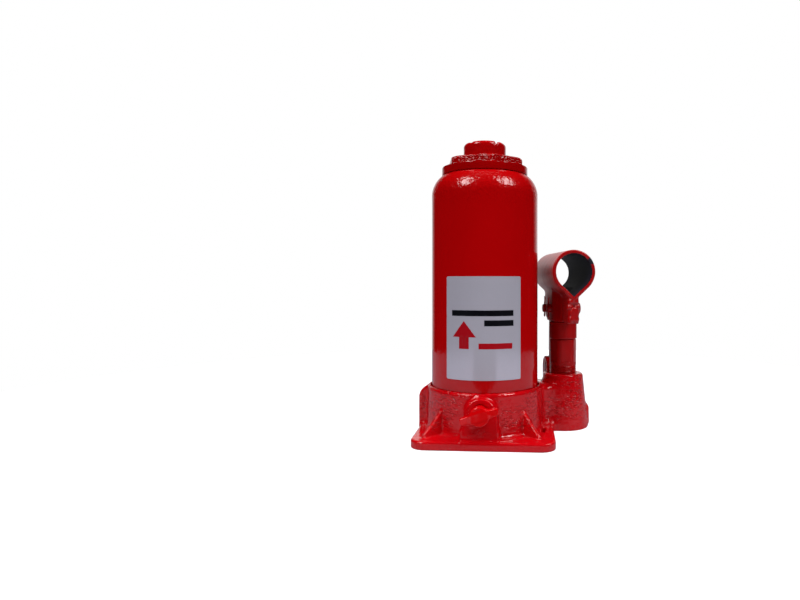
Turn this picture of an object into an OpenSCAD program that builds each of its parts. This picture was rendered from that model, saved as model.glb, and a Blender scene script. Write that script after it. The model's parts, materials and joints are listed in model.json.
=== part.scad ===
// Hydraulic bottle jack. Millimetres, +Z up. The origin is the ram axis at the underside of the foot.
// +X is the pump side and -Y the front, where the release valve is.

/* [Foot casting] */
// Left edge of the foot plate, from the ram axis
plate_left = 50.8; // [48:0.1:52]
// Right edge of the foot plate, from the ram axis
plate_right = 54; // [50:0.1:55]
// Front edge of the foot plate, from the ram axis
plate_front = 56; // [54:1:58]
// Rear edge of the foot plate, from the ram axis
plate_rear = 54; // [50:1:58]
// Thickness of the foot plate
plate_t = 6.3; // [5:0.1:8]
// Corner radius of the foot plate
plate_corner_r = 11; // [6:1:14]
// Radius of the hub at its rim
hub_r = 45; // [44.5:0.5:46]
// Height of the hub
hub_h = 38.5; // [38:0.5:40]
// Height of the block that joins the hub to the pump boss
block_h = 35.5; // [34:0.5:37]
// Thickness of the cast ribs
rib_t = 3.2; // [2.5:0.1:4]

/* [Reservoir and label] */
// Outer radius of the reservoir
reservoir_r = 42; // [42:0.5:43]
// Wall thickness of the reservoir
reservoir_wall = 2.5; // [2:0.1:2.5]
// Radius of the rolled shoulder
shoulder_r = 20; // [18:0.5:21]
// Height at which the shoulder begins
shoulder_z = 185; // [184:0.5:186]
// Height of the label's lower edge
label_z = 47.4; // [44:0.2:60]
// Height of the label
label_h = 75.8; // [60:0.2:80]
// Angle that the label wraps around the reservoir
label_arc = 86; // [60:1:120]

/* [Cylinder, ram and screw] */
// Bore radius of the pressure cylinder
cylinder_bore_r = 22.5; // [22:0.1:23]
// Outer radius of the pressure cylinder
cylinder_r = 27; // [26:0.1:28]
// Radius of the ram
ram_r = 19.45; // [19:0.05:20]
// Radius of the extension screw
screw_r = 14; // [13:0.5:14.5]
// Radius of the saddle
saddle_r = 16.8; // [16:0.1:18]
// Height of the saddle's top
saddle_top = 229; // [227:0.5:231]
// Flange radius of the top nut
nut_flange_r = 34; // [33:0.5:35]
// Corner radius of the top nut's hexagon
nut_hex_r = 31.8; // [30:0.1:33]

/* [Pump and linkage] */
// Distance of the pump axis to the right of the ram axis
pump_x = 63.5; // [63:0.5:65]
// Distance of the pump axis behind the ram axis
pump_y = 23; // [22:0.5:24]
// Turn of the linkage plane away from straight ahead
linkage_turn = 10.5; // [6:0.5:14]
// Height of the pump boss
boss_h = 44; // [43:0.5:45]
// Radius of the pump body
pump_r = 10.9; // [10.8:0.1:11.2]
// Radius of the plunger
plunger_r = 7; // [6.5:0.1:7]
// Height of the pump body's top
pump_top = 86.2; // [85:0.1:86.2]
// Height of the handle bore's axis
socket_z = 127; // [125:0.5:129]
// Radius of the handle bore
handle_bore_r = 14.2; // [13.6:0.1:14.4]
// Sheet thickness of the handle socket
sheet_t = 2.7; // [2.2:0.1:3]
// Length of the handle socket
socket_len = 70; // [66:1:72]

/* [Release valve] */
// Height of the release valve axis
valve_z = 25.8; // [25:0.1:27]
// Width across the valve's two ears
valve_ears = 28; // [22:1:30]
// Tilt of the ears when the valve is shut
valve_tilt = 17; // [0:1:30]

/* [Hidden] */
$fn = 64;

paint_red = "#b4141c";
steel = "#9a9ca0";
bright_steel = "#c8cacd";
rubber_black = "#202020";
nylon_white = "#e4e2d8";
copper = "#b87048";
label_grey = "#a9abb2";

slide_gap = 0.05;
gap = 0.3;
groove_z = 31;
gasket_t = 2;
counterbore_z = 21;
flange_z = 202.5;
flange_t = 6.5;
nut_top = 215.5;
nut_spigot_z = 190;
cylinder_top = 200;
cylinder_neck_r = 25.5;
nut_bore_r = ram_r + slide_gap;
ram_top = 216.5;
ram_shoulder_z = 46;
ram_bore_r = 15.5;
ram_bore_z = 108;
thread_z = 190;
screw_bottom = 115;
stop_groove_z = 117;
saddle_pad = 21;
saddle_groove = 1.4;

valve_face = 53;
valve_seat = 33;
release_ball_r = 3;
release_hole_r = 2;
release_ball_y = -valve_seat - sqrt(pow(release_ball_r, 2) - pow(release_hole_r, 2)) - slide_gap;
valve_nose = release_ball_y - release_ball_r - slide_gap;
valve_stem_r = 5.5;

chamber_z = 19;
pump_seat_z = 24;
inlet_seat_z = 12;
inlet_ball_r = 2.6;
inlet_hole_r = 1.5;
inlet_ball_z = inlet_seat_z + sqrt(pow(inlet_ball_r, 2) - pow(inlet_hole_r, 2)) + slide_gap;
filter_place = [24, 23];
outlet_place = [44, 32];
outlet_seat_z = 17;
outlet_ball_r = 3;
outlet_hole_r = 1.8;
outlet_ball_z = outlet_seat_z - sqrt(pow(outlet_ball_r, 2) - pow(outlet_hole_r, 2)) - slide_gap;
outlet_spring_z = 5;
safety_place = [-20, 24];
safety_seat_z = 14;
safety_ball_r = 2.5;
safety_hole_r = 1.2;
safety_ball_z = safety_seat_z - sqrt(pow(safety_ball_r, 2) - pow(safety_hole_r, 2)) - slide_gap;
safety_spring_z = 5.5;
release_drop_y = -31;

pin_r = 3.5;
base_pin_r = 4;
pin_clear = 0.08;
// Pin centres in the linkage plane, as distance ahead of the pump axis and height
plunger_pin_at = [0, 97];
top_pin_at = [-26, 96];
base_pin_at = [-28, 45];
link_t = 8.6;
link_gap = 9.4;
ear_t = 4.5;
ear_r = 9;
cheek_bottom = 86.5;
cheek_rear_w = 7.4;
cheek_bulge_w = plunger_r + gap + 3;
bulge_u = 2.8;
nose_w = 4;
nose_u = 33.5;
socket_r = handle_bore_r + sheet_t;
keyhole_tip = 107.5;
split_wire = 0.85;
// Half length and half height of the plunger's eye, which lets its pin follow the socket's arc
eye_half_len = 5.1;
eye_half_h = 4.25;
// Flat tongue at the plunger's top, which the eye goes through
tongue_z = 89;
tongue_w = 4.6;

// Shared shapes

module round_square(x0, x1, y0, y1, r) {
    translate([x0 + r, y0]) square([x1 - x0 - 2 * r, y1 - y0]);
    translate([x0, y0 + r]) square([x1 - x0, y1 - y0 - 2 * r]);
    for (x = [x0 + r, x1 - r])
        for (y = [y0 + r, y1 - r])
            translate([x, y]) circle(r);
}

module ring(r_in, r_out, z0, z1) {
    translate([0, 0, z0])
    difference() {
        cylinder(h = z1 - z0, r = r_out);
        translate([0, 0, -1]) cylinder(h = z1 - z0 + 2, r = r_in);
    }
}

module post(r, z0, z1) {
    translate([0, 0, z0]) cylinder(h = z1 - z0, r = r);
}

// A straight drilled hole from one point to another
module drilled(p, q, r) {
    d = q - p;
    across = norm([d[0], d[1]]);
    translate(p)
        rotate([0, atan2(across, d[2]), atan2(d[1], d[0])])
        cylinder(h = norm(d), r = r);
}

module oring(r, section, z) {
    translate([0, 0, z])
        rotate_extrude()
        translate([r, 0])
        circle(section, $fn = 32);
}

module coil_spring(r, wire, turns, z0, z1) {
    steps = 16 * turns;
    sides = 6;
    points = [for (i = [0 : steps]) for (k = [0 : sides - 1])
        let (a = 360 * i / 16, b = 360 * k / sides)
        let (z = z0 + wire + (z1 - z0 - 2 * wire) * i / steps)
        [(r + wire * cos(b)) * cos(a), (r + wire * cos(b)) * sin(a), z + wire * sin(b)]];
    walls = [for (i = [0 : steps - 1]) for (k = [0 : sides - 1])
        let (n = (k + 1) % sides)
        [i * sides + k, (i + 1) * sides + k, (i + 1) * sides + n, i * sides + n]];
    first = [for (k = [0 : sides - 1]) k];
    last = [for (k = [sides - 1 : -1 : 0]) steps * sides + k];
    polyhedron(points, concat([first], walls, [last]));
}

// Frame of the linkage: +X is forwards along the handle, +Y to the right, at the pump axis
module at_pump() {
    translate([pump_x, pump_y, 0]) rotate(linkage_turn - 90) children();
}

module at_valve() {
    translate([0, 0, valve_z]) rotate([90, 0, 0]) children();
}

// An outline in the linkage plane, given thickness from y0 to y1 across it
module cut_plate(y0, y1) {
    translate([0, y1, 0]) rotate([90, 0, 0]) linear_extrude(y1 - y0) children();
}

module cross_pin(at, r, y0, y1) {
    cut_plate(y0, y1) translate(at) circle(r);
}

// The hole for a split pin through a cross pin
module split_hole(at, y) {
    translate([at[0], y, at[1] - 10]) cylinder(h = 20, r = split_wire + 0.05);
}

// The countersunk head of the link's base pin, flush with the left ear
module base_pin_cone(extra, y0) {
    translate([base_pin_at[0], y0, base_pin_at[1]])
        rotate([-90, 0, 0])
        cylinder(h = -7.6 - y0, r1 = base_pin_r - 7.6 - y0 + extra, r2 = base_pin_r + extra);
}

// A split pin that stands upright through a cross pin, its eye below and its tails above
module split_pin(at, y, tail) {
    translate([at[0], y, at[1]]) {
        translate([0, 0, -5]) cylinder(h = 5 + tail, r = split_wire);
        translate([0, 0, -5.8])
            rotate([90, 0, 0])
            rotate_extrude()
            translate([1.3, 0])
            circle(split_wire, $fn = 24);
        translate([0, 0, 5])
            rotate([0, 32, 0])
            cylinder(h = 5, r = 0.8 * split_wire);
    }
}

// Foot

module foot_plate() {
    linear_extrude(plate_t)
        round_square(-plate_left, plate_right, -plate_front, plate_rear, plate_corner_r);
}

module corner_rib(angle) {
    rotate(angle)
        cut_plate(-rib_t / 2, rib_t / 2)
        polygon([[40, plate_t - 1], [40, 24], [45.5, 24], [62.5, 8], [62.5, plate_t - 1]]);
}

module side_fin() {
    intersection() {
        translate([-60, -3, plate_t - 1]) cube([20, 6, 40]);
        cut_plate(-3, 3)
            union() {
                translate([-43.2, 27]) circle(9.6);
                translate([-52.8, plate_t - 1]) square([9.6, 28 - plate_t]);
            }
    }
}

module valve_boss() {
    at_valve() {
        translate([0, -2.3, 40]) cylinder(h = valve_face - 40, r = 12.3);
        translate([0, 0, 40])
            linear_extrude(valve_face - 40)
            polygon([[-12.3, -2.3], [-14, -10], [-14, -valve_z], [13, -valve_z], [12.3, -2.3]]);
    }
}

module pump_boss() {
    translate([pump_x, pump_y, 0]) cylinder(h = boss_h, r1 = 20.5, r2 = 16.2);
    translate([pump_x, pump_y, 0])
        rotate([90, 0, 90])
        linear_extrude(21.3)
        union() {
            translate([-2, 0]) square([4, 17]);
            translate([0, 17]) circle(2);
        }
}

module join_block() {
    linear_extrude(block_h)
        polygon([[0, -14], [44, 0.5], [60, 8], [60, 42], [46, 41], [20, 40.5], [0, 30]]);
}

module link_lug() {
    at_pump() {
        translate([-37, -link_gap / 2 - ear_t, 0]) cube([37, link_gap + 2 * ear_t, block_h]);
        for (y0 = [-link_gap / 2 - ear_t, link_gap / 2])
            cut_plate(y0, y0 + ear_t) {
                translate(base_pin_at) circle(ear_r);
                translate([base_pin_at[0] - ear_r, block_h - 1])
                    square([2 * ear_r, base_pin_at[1] - block_h + 1]);
            }
    }
}

module hub_bores() {
    post(cylinder_r + slide_gap, counterbore_z, hub_h + 1);
    ring(reservoir_r - reservoir_wall - 0.1, reservoir_r + 0.1, groove_z, hub_h + 1);
}

module valve_bores() {
    at_valve() {
        translate([0, 0, 42]) cylinder(h = 20, r = 6);
        translate([0, 0, valve_seat]) cylinder(h = 20, r = 4.5);
        translate([0, 0, -release_drop_y - 2.2]) cylinder(h = 8, r = release_hole_r);
    }
    translate([0, release_drop_y, -1]) cylinder(h = valve_z + 1, r = 1.7);
    translate([0, release_drop_y, -1]) cylinder(h = 6, r = 3);
    translate([0, -37.2, valve_z]) cylinder(h = 20, r = 1.5);
    drilled([0, -6, 22], [0, release_drop_y, 12], 1.2);
}

module pump_bores() {
    translate([pump_x, pump_y, 0]) {
        post(10.65, pump_seat_z - 1, boss_h + 1);
        post(plunger_r + slide_gap, chamber_z, pump_seat_z);
        post(3.2, inlet_seat_z, chamber_z + 1);
        post(inlet_hole_r, 5, inlet_seat_z + 1);
    }
    drilled([filter_place[0], filter_place[1], hub_h + 1], [pump_x, pump_y, 7.5], 1.2);
    translate([filter_place[0], filter_place[1], hub_h - 3]) cylinder(h = 4, r = 4.5);
    drilled([pump_x, pump_y, 20.9], [outlet_place[0], outlet_place[1], 20.9], 1.3);
    translate([outlet_place[0], outlet_place[1], 0]) {
        post(outlet_hole_r, 10, 23);
        post(4, -1, outlet_seat_z);
    }
    drilled([0, 0, 23], [outlet_place[0], outlet_place[1], 8], 1.6);
}

module safety_bores() {
    translate([safety_place[0], safety_place[1], 0]) {
        post(safety_hole_r, 10, 18);
        post(3.6, -1, safety_seat_z);
    }
    translate([1.13 * safety_place[0], 1.13 * safety_place[1], 8]) cylinder(h = 40, r = 1.3);
    drilled([-5, 6, 22.5], [safety_place[0], safety_place[1], 16.4], 0.9);
}

module base_casting() {
    color(paint_red)
    difference() {
        union() {
            foot_plate();
            cylinder(h = hub_h, r1 = hub_r + 1, r2 = hub_r);
            corner_rib(-46.5);
            corner_rib(-132);
            corner_rib(132);
            side_fin();
            valve_boss();
            pump_boss();
            join_block();
            link_lug();
        }
        hub_bores();
        valve_bores();
        pump_bores();
        safety_bores();
        at_pump() {
            cross_pin(base_pin_at, base_pin_r, -20, 20);
            base_pin_cone(0.1, -10);
        }
    }
}

module bottom_gasket() {
    color(rubber_black)
        ring(reservoir_r - reservoir_wall, reservoir_r, groove_z, groove_z + gasket_t);
}

module inlet_filter() {
    color(steel)
        translate([filter_place[0], filter_place[1], hub_h - 2.9])
        cylinder(h = 0.8, r = 4.4);
}

module passage_plugs() {
    color(steel) {
        translate([0, release_drop_y, 0.5]) cylinder(h = 4, r = 3);
        translate([outlet_place[0], outlet_place[1], 0.5]) cylinder(h = 4.5, r = 4);
    }
}

// Tank

module tank_half(r, top, arc) {
    square([22, top]);
    square([r, shoulder_z]);
    intersection() {
        translate([r - arc, shoulder_z]) circle(arc);
        square([r, top]);
    }
}

module reservoir_tube() {
    inner_r = reservoir_r - reservoir_wall;
    top = flange_z - 1;
    color(paint_red)
    difference() {
        rotate_extrude()
        difference() {
            tank_half(reservoir_r, top, shoulder_r);
            tank_half(inner_r, top - reservoir_wall, shoulder_r - reservoir_wall);
            square([reservoir_r + 1, groove_z + gasket_t]);
            square([28.5, top + 1]);
        }
        translate([0, 0, 165]) rotate([-90, 0, 0]) cylinder(h = reservoir_r + 1, r = 4.5);
    }
}

module rating_label() {
    color(label_grey)
        translate([0, 0, label_z])
        rotate(-88 - label_arc / 2)
        rotate_extrude(angle = label_arc)
        translate([reservoir_r, 0])
        square([0.2, label_h]);
}

module filler_plug() {
    color(rubber_black)
        translate([0, 0, 165])
        rotate([-90, 0, 0]) {
            post(4.4, reservoir_r - 6, reservoir_r + 2);
            post(5.6, reservoir_r - 6, reservoir_r - reservoir_wall - 0.4);
            post(7, reservoir_r + 0.3, reservoir_r + 3);
        }
}

module top_gasket() {
    color(rubber_black) ring(28.5, 31.5, flange_z - 1, flange_z);
}

module top_nut() {
    color(paint_red)
    difference() {
        union() {
            rotate_extrude() {
                square([28.3, nut_top - 1]);
                translate([0, flange_z]) square([30, flange_t]);
                round_square(20, nut_flange_r, flange_z, flange_z + flange_t, 2.4);
            }
            intersection() {
                rotate(-79) translate([0, 0, flange_z]) cylinder(h = nut_top - flange_z, r = nut_hex_r, $fn = 6);
                translate([0, 0, flange_z]) cylinder(h = nut_top - flange_z, r1 = nut_hex_r + 6, r2 = 29.8);
            }
        }
        post(60, -1, nut_spigot_z);
        post(cylinder_neck_r + slide_gap, nut_spigot_z - 1, cylinder_top + slide_gap);
        post(nut_bore_r, nut_spigot_z - 1, nut_top + 1);
        post(22, 204, 208);
        post(21.6, nut_top - 3, nut_top + 1);
    }
}

module ram_seal() {
    color(rubber_black) ring(nut_bore_r, 22, 204, 208);
}

module ram_wiper() {
    color(rubber_black)
        rotate_extrude()
        polygon([[nut_bore_r, nut_top - 3], [21.6, nut_top - 3], [21.6, nut_top], [nut_bore_r + 0.8, nut_top],
            [nut_bore_r, nut_top + 0.6]]);
}

module pressure_cylinder() {
    color(steel)
    difference() {
        union() {
            post(cylinder_r, counterbore_z + 1, 186);
            post(cylinder_neck_r, 100, cylinder_top);
        }
        post(cylinder_bore_r, 0, cylinder_top + 1);
    }
}

module cylinder_washer() {
    color(copper) ring(cylinder_bore_r, cylinder_r, counterbore_z, counterbore_z + 1);
}

// Pump

module pump_body() {
    color(paint_red)
    translate([pump_x, pump_y, 0])
    difference() {
        union() {
            post(10.6, pump_seat_z, 54);
            post(pump_r, 52, 54);
            intersection() {
                post(pump_r, 53, 73);
                rotate(linkage_turn) post(10.3 / cos(30), 53, 73, $fn = 6);
            }
            post(pump_r, 71, 73);
            post(pump_r + 0.45, 72.5, pump_top);
        }
        post(plunger_r + slide_gap, 0, pump_top + 1);
        post(plunger_r + 2, 79, 82);
    }
}

module pump_washer() {
    color(copper)
        translate([pump_x, pump_y, 0])
        ring(plunger_r + slide_gap, 10.6, pump_seat_z - 1, pump_seat_z);
}

module pump_gland_seal() {
    color(rubber_black)
        translate([pump_x, pump_y, 0])
        ring(plunger_r + slide_gap, plunger_r + 2, 79, 82);
}

module inlet_ball() {
    color(bright_steel)
        translate([pump_x, pump_y, inlet_ball_z])
        sphere(inlet_ball_r);
}

module outlet_ball() {
    color(bright_steel)
        translate([outlet_place[0], outlet_place[1], outlet_ball_z])
        sphere(outlet_ball_r);
}

module outlet_spring() {
    color(steel)
        translate([outlet_place[0], outlet_place[1], 0])
        coil_spring(2.6, 0.4, 4, outlet_spring_z, outlet_ball_z - 1.85);
}

module safety_ball() {
    color(bright_steel)
        translate([safety_place[0], safety_place[1], safety_ball_z])
        sphere(safety_ball_r);
}

module safety_spring() {
    color(steel)
        translate([safety_place[0], safety_place[1], 0])
        coil_spring(2.1, 0.5, 3, safety_spring_z, safety_ball_z - 1.7);
}

module safety_screw() {
    color(steel)
        translate([safety_place[0], safety_place[1], 0])
        difference() {
            post(3.6, 0.8, safety_spring_z);
            translate([-4, -0.5, 0]) cube([8, 1, 1.8]);
        }
}

// Ram and extension screw

module ram_tube() {
    color(bright_steel)
    difference() {
        union() {
            post(ram_r, 38, ram_top);
            post(cylinder_bore_r - 0.1, 38, ram_shoulder_z);
            post(8, 28, 39);
        }
        post(screw_r + slide_gap, thread_z, ram_top + 1);
        post(ram_bore_r, ram_bore_z, thread_z + 1);
        post(4, 20, 42);
    }
}

module piston_backup_ring() {
    color(nylon_white) ring(8 + slide_gap, cylinder_bore_r - 0.1, 35, 38);
}

module piston_cup() {
    color(rubber_black)
    difference() {
        ring(8 + slide_gap, cylinder_bore_r - slide_gap, 28, 35);
        ring(15, 20, 27, 32);
    }
}

module piston_retainer() {
    color(steel)
    difference() {
        union() {
            post(14, 25, 28);
            post(4, 27, 41);
        }
        translate([-8, -1, 24]) cube([16, 2, 2.2]);
    }
}

module screw_stop_ring() {
    color(steel)
    difference() {
        ring(screw_r - 2 + slide_gap, screw_r + 0.9, stop_groove_z + 0.1, stop_groove_z + 1.7);
        translate([screw_r - 3, -2, stop_groove_z - 1]) cube([6, 4, 4]);
    }
}

module extension_screw() {
    color(bright_steel)
    difference() {
        union() {
            post(screw_r, screw_bottom, ram_top);
            post(9, ram_top - 1, ram_top + 7);
        }
        ring(screw_r - 2, screw_r + 1, stop_groove_z, stop_groove_z + 1.8);
    }
}

module saddle() {
    color(paint_red)
    difference() {
        rotate_extrude() {
            translate([0, ram_top]) square([saddle_r, saddle_top - ram_top - 4]);
            intersection() {
                round_square(-saddle_r, saddle_r, saddle_top - 9, saddle_top, 4);
                translate([0, saddle_top - 9]) square([saddle_r, 9]);
            }
        }
        post(9 + slide_gap, ram_top - 1, ram_top + 7);
        for (turn = [0, 90])
            rotate(turn)
            for (x = [-saddle_pad / 2, saddle_pad / 2])
                translate([x - saddle_groove / 2, -20, saddle_top - 2.6]) cube([saddle_groove, 40, 5]);
    }
}

// Release valve

module release_ball() {
    color(bright_steel)
        translate([0, release_ball_y, valve_z])
        sphere(release_ball_r);
}

module release_valve_screw() {
    color(paint_red)
    at_valve()
    difference() {
        union() {
            post(3, -valve_nose, 43);
            post(5.95, 42.6, 52);
            post(valve_stem_r, 51, 56);
            post(7.1, 55.4, 63.6);
            rotate(valve_tilt)
            translate([0, 0, 57.6])
            linear_extrude(5)
                round_square(-valve_ears / 2, valve_ears / 2, -3, 3, 2.4);
        }
        ring(4.6, 7, 47, 49);
    }
}

module release_valve_oring() {
    color(rubber_black) at_valve() oring(5.28, 0.65, 48);
}

// Linkage

module link_base_pin() {
    color(paint_red) at_pump()
    difference() {
        union() {
            cross_pin(base_pin_at, base_pin_r, -8, 13);
            base_pin_cone(0, -9.2);
        }
        split_hole(base_pin_at, 11.2);
    }
}

module link_base_split_pin() {
    color(paint_red) at_pump() split_pin(base_pin_at, 11.2, 6);
}

module link_bar() {
    top = top_pin_at;
    low = base_pin_at;
    lean = atan2(low[0] - top[0], top[1] - low[1]);
    color(paint_red) at_pump()
    cut_plate(-link_t / 2, link_t / 2)
    difference() {
        union() {
            translate(low) circle(7.6);
            translate(top) circle(7.6);
            translate(low) rotate(lean) translate([-6, 0]) square([12, norm(top - low)]);
        }
        translate(low) circle(base_pin_r + pin_clear);
        translate(top) circle(pin_r + pin_clear);
    }
}

// Half the plan of the cheeks: a narrow nose ahead, a bulge around the plunger, a narrower tail
module cheek_plan(nose, bulge, tail) {
    for (side = [0, 1])
        mirror([0, side]) {
            polygon([[nose_u, 0], [nose_u, nose], [15.5, nose], [bulge_u + 0.72 * bulge, 0.69 * bulge],
                [bulge_u, bulge], [-16, bulge], [-20.2, tail], [-35, tail], [-35, 0]]);
            intersection() {
                translate([bulge_u, 0]) circle(bulge);
                translate([-20, 0]) square([40, 20]);
            }
        }
}

module cheek_void() {
    translate([0, 0, cheek_bottom - 1])
    linear_extrude(socket_z - cheek_bottom)
        {
            translate([bulge_u, 0]) circle(plunger_r + gap);
            translate([-16.6, -plunger_r - gap]) square([16.6 + bulge_u, 2 * (plunger_r + gap)]);
            polygon([[-16.6, plunger_r + gap], [-20.4, link_gap / 2], [-20.4, -link_gap / 2], [-16.6, -plunger_r - gap]]);
            translate([-40, -link_gap / 2]) square([24, link_gap]);
        }
}

// Side outline of the cheeks, with the lower rear corner rounded about the top pin
module cheek_outline() {
    translate([-15, cheek_bottom]) square([nose_u + 15, socket_z - cheek_bottom]);
    translate([-35, 96]) square([nose_u + 35, socket_z - 96]);
    translate([-24.9, 96.6]) circle(10.1);
    translate([-24.9, cheek_bottom]) square([20, 20]);
}

module keyhole(r, tip) {
    circle(r);
    spread = acos(r / (socket_z - tip));
    polygon([[0, tip - socket_z], [r * sin(spread), -r * cos(spread)], [0, 0], [-r * sin(spread), -r * cos(spread)]]);
}

module along_socket(length) {
    translate([-socket_len / 2, 0, socket_z])
        rotate([90, 0, 90])
        linear_extrude(length)
        children();
}

module handle_socket() {
    color(paint_red) at_pump()
    difference() {
        union() {
            along_socket(socket_len) keyhole(socket_r, keyhole_tip - 3.6);
            intersection() {
                translate([0, 0, cheek_bottom])
                    linear_extrude(socket_z - cheek_bottom)
                    cheek_plan(nose_w, cheek_bulge_w, cheek_rear_w);
                cut_plate(-20, 20) cheek_outline();
            }
        }
        translate([-socket_len, 0, socket_z]) rotate([0, 90, 0]) cylinder(h = 2 * socket_len, r = handle_bore_r);
        translate([-5, 0, 0]) along_socket(socket_len + 10) keyhole(handle_bore_r - 0.01, keyhole_tip);
        cheek_void();
        cross_pin(plunger_pin_at, pin_r + 0.02, -20, 20);
        cross_pin(top_pin_at, pin_r + 0.02, -20, 20);
    }
}

module link_top_pin() {
    color(paint_red) at_pump()
    difference() {
        union() {
            cross_pin(top_pin_at, pin_r, -11.2, 8.2);
            cross_pin(top_pin_at, pin_r + 1.7, cheek_rear_w + 0.1, cheek_rear_w + 2.7);
        }
        split_hole(top_pin_at, -9.6);
    }
}

module link_top_split_pin() {
    color(paint_red) at_pump() split_pin(top_pin_at, -9.6, 10.5);
}

module plunger_pin() {
    color(paint_red) at_pump()
    difference() {
        union() {
            cross_pin(plunger_pin_at, pin_r, -13.6, 12);
            cross_pin(plunger_pin_at, pin_r + 1.2, cheek_bulge_w + 0.1, cheek_bulge_w + 3.9);
        }
        split_hole(plunger_pin_at, -12.2);
    }
}

module plunger_split_pin() {
    color(paint_red) at_pump() split_pin(plunger_pin_at, -12.2, 5.4);
}

module pump_plunger() {
    color(bright_steel) at_pump()
    difference() {
        union() {
            post(plunger_r, 34, tongue_z);
            intersection() {
                post(plunger_r, tongue_z - 1, 110);
                cut_plate(-tongue_w, tongue_w) {
                    translate(plunger_pin_at) circle(plunger_r);
                    translate([-10, 50]) square([20, plunger_pin_at[1] - 50]);
                }
            }
            post(4, 28, 35);
        }
        cut_plate(-20, 20)
            translate(plunger_pin_at)
            round_square(-eye_half_len, eye_half_len, -eye_half_h, eye_half_h, eye_half_h - 0.05);
    }
}

module plunger_cup() {
    color(rubber_black) at_pump()
    difference() {
        ring(4 + slide_gap, plunger_r, 28, 34);
        ring(4.8, 6, 27, 31);
    }
}

base_casting();
bottom_gasket();
reservoir_tube();
rating_label();
filler_plug();
top_gasket();
top_nut();
ram_seal();
ram_wiper();
pressure_cylinder();
cylinder_washer();
pump_body();
pump_washer();
pump_gland_seal();
inlet_filter();
inlet_ball();
outlet_ball();
outlet_spring();
safety_ball();
safety_spring();
safety_screw();
passage_plugs();
link_base_pin();
link_base_split_pin();
ram_tube();
piston_backup_ring();
piston_cup();
piston_retainer();
screw_stop_ring();
extension_screw();
saddle();
release_ball();
release_valve_screw();
release_valve_oring();
link_bar();
handle_socket();
link_top_pin();
link_top_split_pin();
plunger_pin();
plunger_split_pin();
pump_plunger();
plunger_cup();
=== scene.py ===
import json
import math

import bpy
import numpy as np
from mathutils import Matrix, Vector


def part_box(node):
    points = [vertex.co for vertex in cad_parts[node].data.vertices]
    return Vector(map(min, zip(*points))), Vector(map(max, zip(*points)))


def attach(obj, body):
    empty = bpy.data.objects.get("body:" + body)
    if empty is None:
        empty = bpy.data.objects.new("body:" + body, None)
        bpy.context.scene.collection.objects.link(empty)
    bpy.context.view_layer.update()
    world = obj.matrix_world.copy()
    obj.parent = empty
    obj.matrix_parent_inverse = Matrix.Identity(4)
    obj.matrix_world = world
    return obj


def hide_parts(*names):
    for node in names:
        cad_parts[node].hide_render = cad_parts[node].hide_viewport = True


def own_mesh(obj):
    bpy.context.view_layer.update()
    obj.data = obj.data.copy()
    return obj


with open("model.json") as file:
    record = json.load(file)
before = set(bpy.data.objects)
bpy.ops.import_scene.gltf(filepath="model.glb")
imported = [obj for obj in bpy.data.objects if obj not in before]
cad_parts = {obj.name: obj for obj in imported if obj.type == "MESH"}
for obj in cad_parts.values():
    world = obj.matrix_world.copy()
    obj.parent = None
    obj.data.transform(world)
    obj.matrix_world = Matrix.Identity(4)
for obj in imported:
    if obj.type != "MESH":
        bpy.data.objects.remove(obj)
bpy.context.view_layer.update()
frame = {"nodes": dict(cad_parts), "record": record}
nodes = frame["nodes"]
print("frame loaded:", len(nodes), "nodes")

# Shapes are worked out in millimetres and put into the meshes in metres.
mm = 0.001

# The camera stands where the jack was seen from.

cameraSet = {
    "azimuth": 3.8,        # degrees round from straight ahead, towards the pump
    "distance": 454,       # from the ram axis
    "height": 120.5,
    "lens": 25.58,
    "shift": (-0.106, -0.025),  # puts the jack to the right of the middle
    "clip": (0.01, 50),
}


def makeCamera(s):
    # level, on a circle about the ram axis, and facing it
    camera = bpy.data.objects.new("camera", bpy.data.cameras.new("camera"))
    bpy.context.scene.collection.objects.link(camera)
    turn = math.radians(s["azimuth"])
    camera.location = (s["distance"] * mm * math.sin(turn), -s["distance"] * mm * math.cos(turn), s["height"] * mm)
    camera.rotation_euler = (math.pi / 2, 0, turn)
    camera.data.lens = s["lens"]
    camera.data.shift_x, camera.data.shift_y = s["shift"]
    camera.data.clip_start, camera.data.clip_end = s["clip"]
    bpy.context.scene.camera = camera


makeCamera(cameraSet)
print("camera set")

# Mesh making.


def makePiece(name, points, faces, body, slot, replaced=(), material=None, sharp=45, uv=None):
    # points: rows of x, y, z in millimetres; faces: rows of point numbers, turning anticlockwise seen from outside
    mesh = bpy.data.meshes.new(name)
    mesh.from_pydata((np.asarray(points, float) * mm).tolist(), [], [list(f) for f in faces])
    mesh.validate()
    mesh.shade_smooth()
    mesh.set_sharp_from_angle(angle=math.radians(sharp))
    if uv is not None:
        layer = mesh.uv_layers.new(name="UVMap")
        corner = np.zeros(len(mesh.loops), np.int32)
        mesh.loops.foreach_get("vertex_index", corner)
        layer.data.foreach_set("uv", np.asarray(uv, np.float32)[corner].ravel())
    piece = bpy.data.objects.new(name, mesh)
    bpy.context.scene.collection.objects.link(piece)
    if material is not None:
        mesh.materials.append(material)
    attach(piece, body)
    if replaced:
        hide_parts(*replaced)
    return piece


def gridFaces(rows, columns, wrapRows=False, wrapColumns=False):
    # the quads between neighbouring points of a grid stored row by row
    i = np.arange(rows if wrapRows else rows - 1)[:, None]
    j = np.arange(columns if wrapColumns else columns - 1)[None, :]
    below, above = i * columns, (i + 1) % rows * columns
    here, along = j, (j + 1) % columns
    return np.stack([below + here, below + along, above + along, above + here], -1).reshape(-1, 4)


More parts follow.
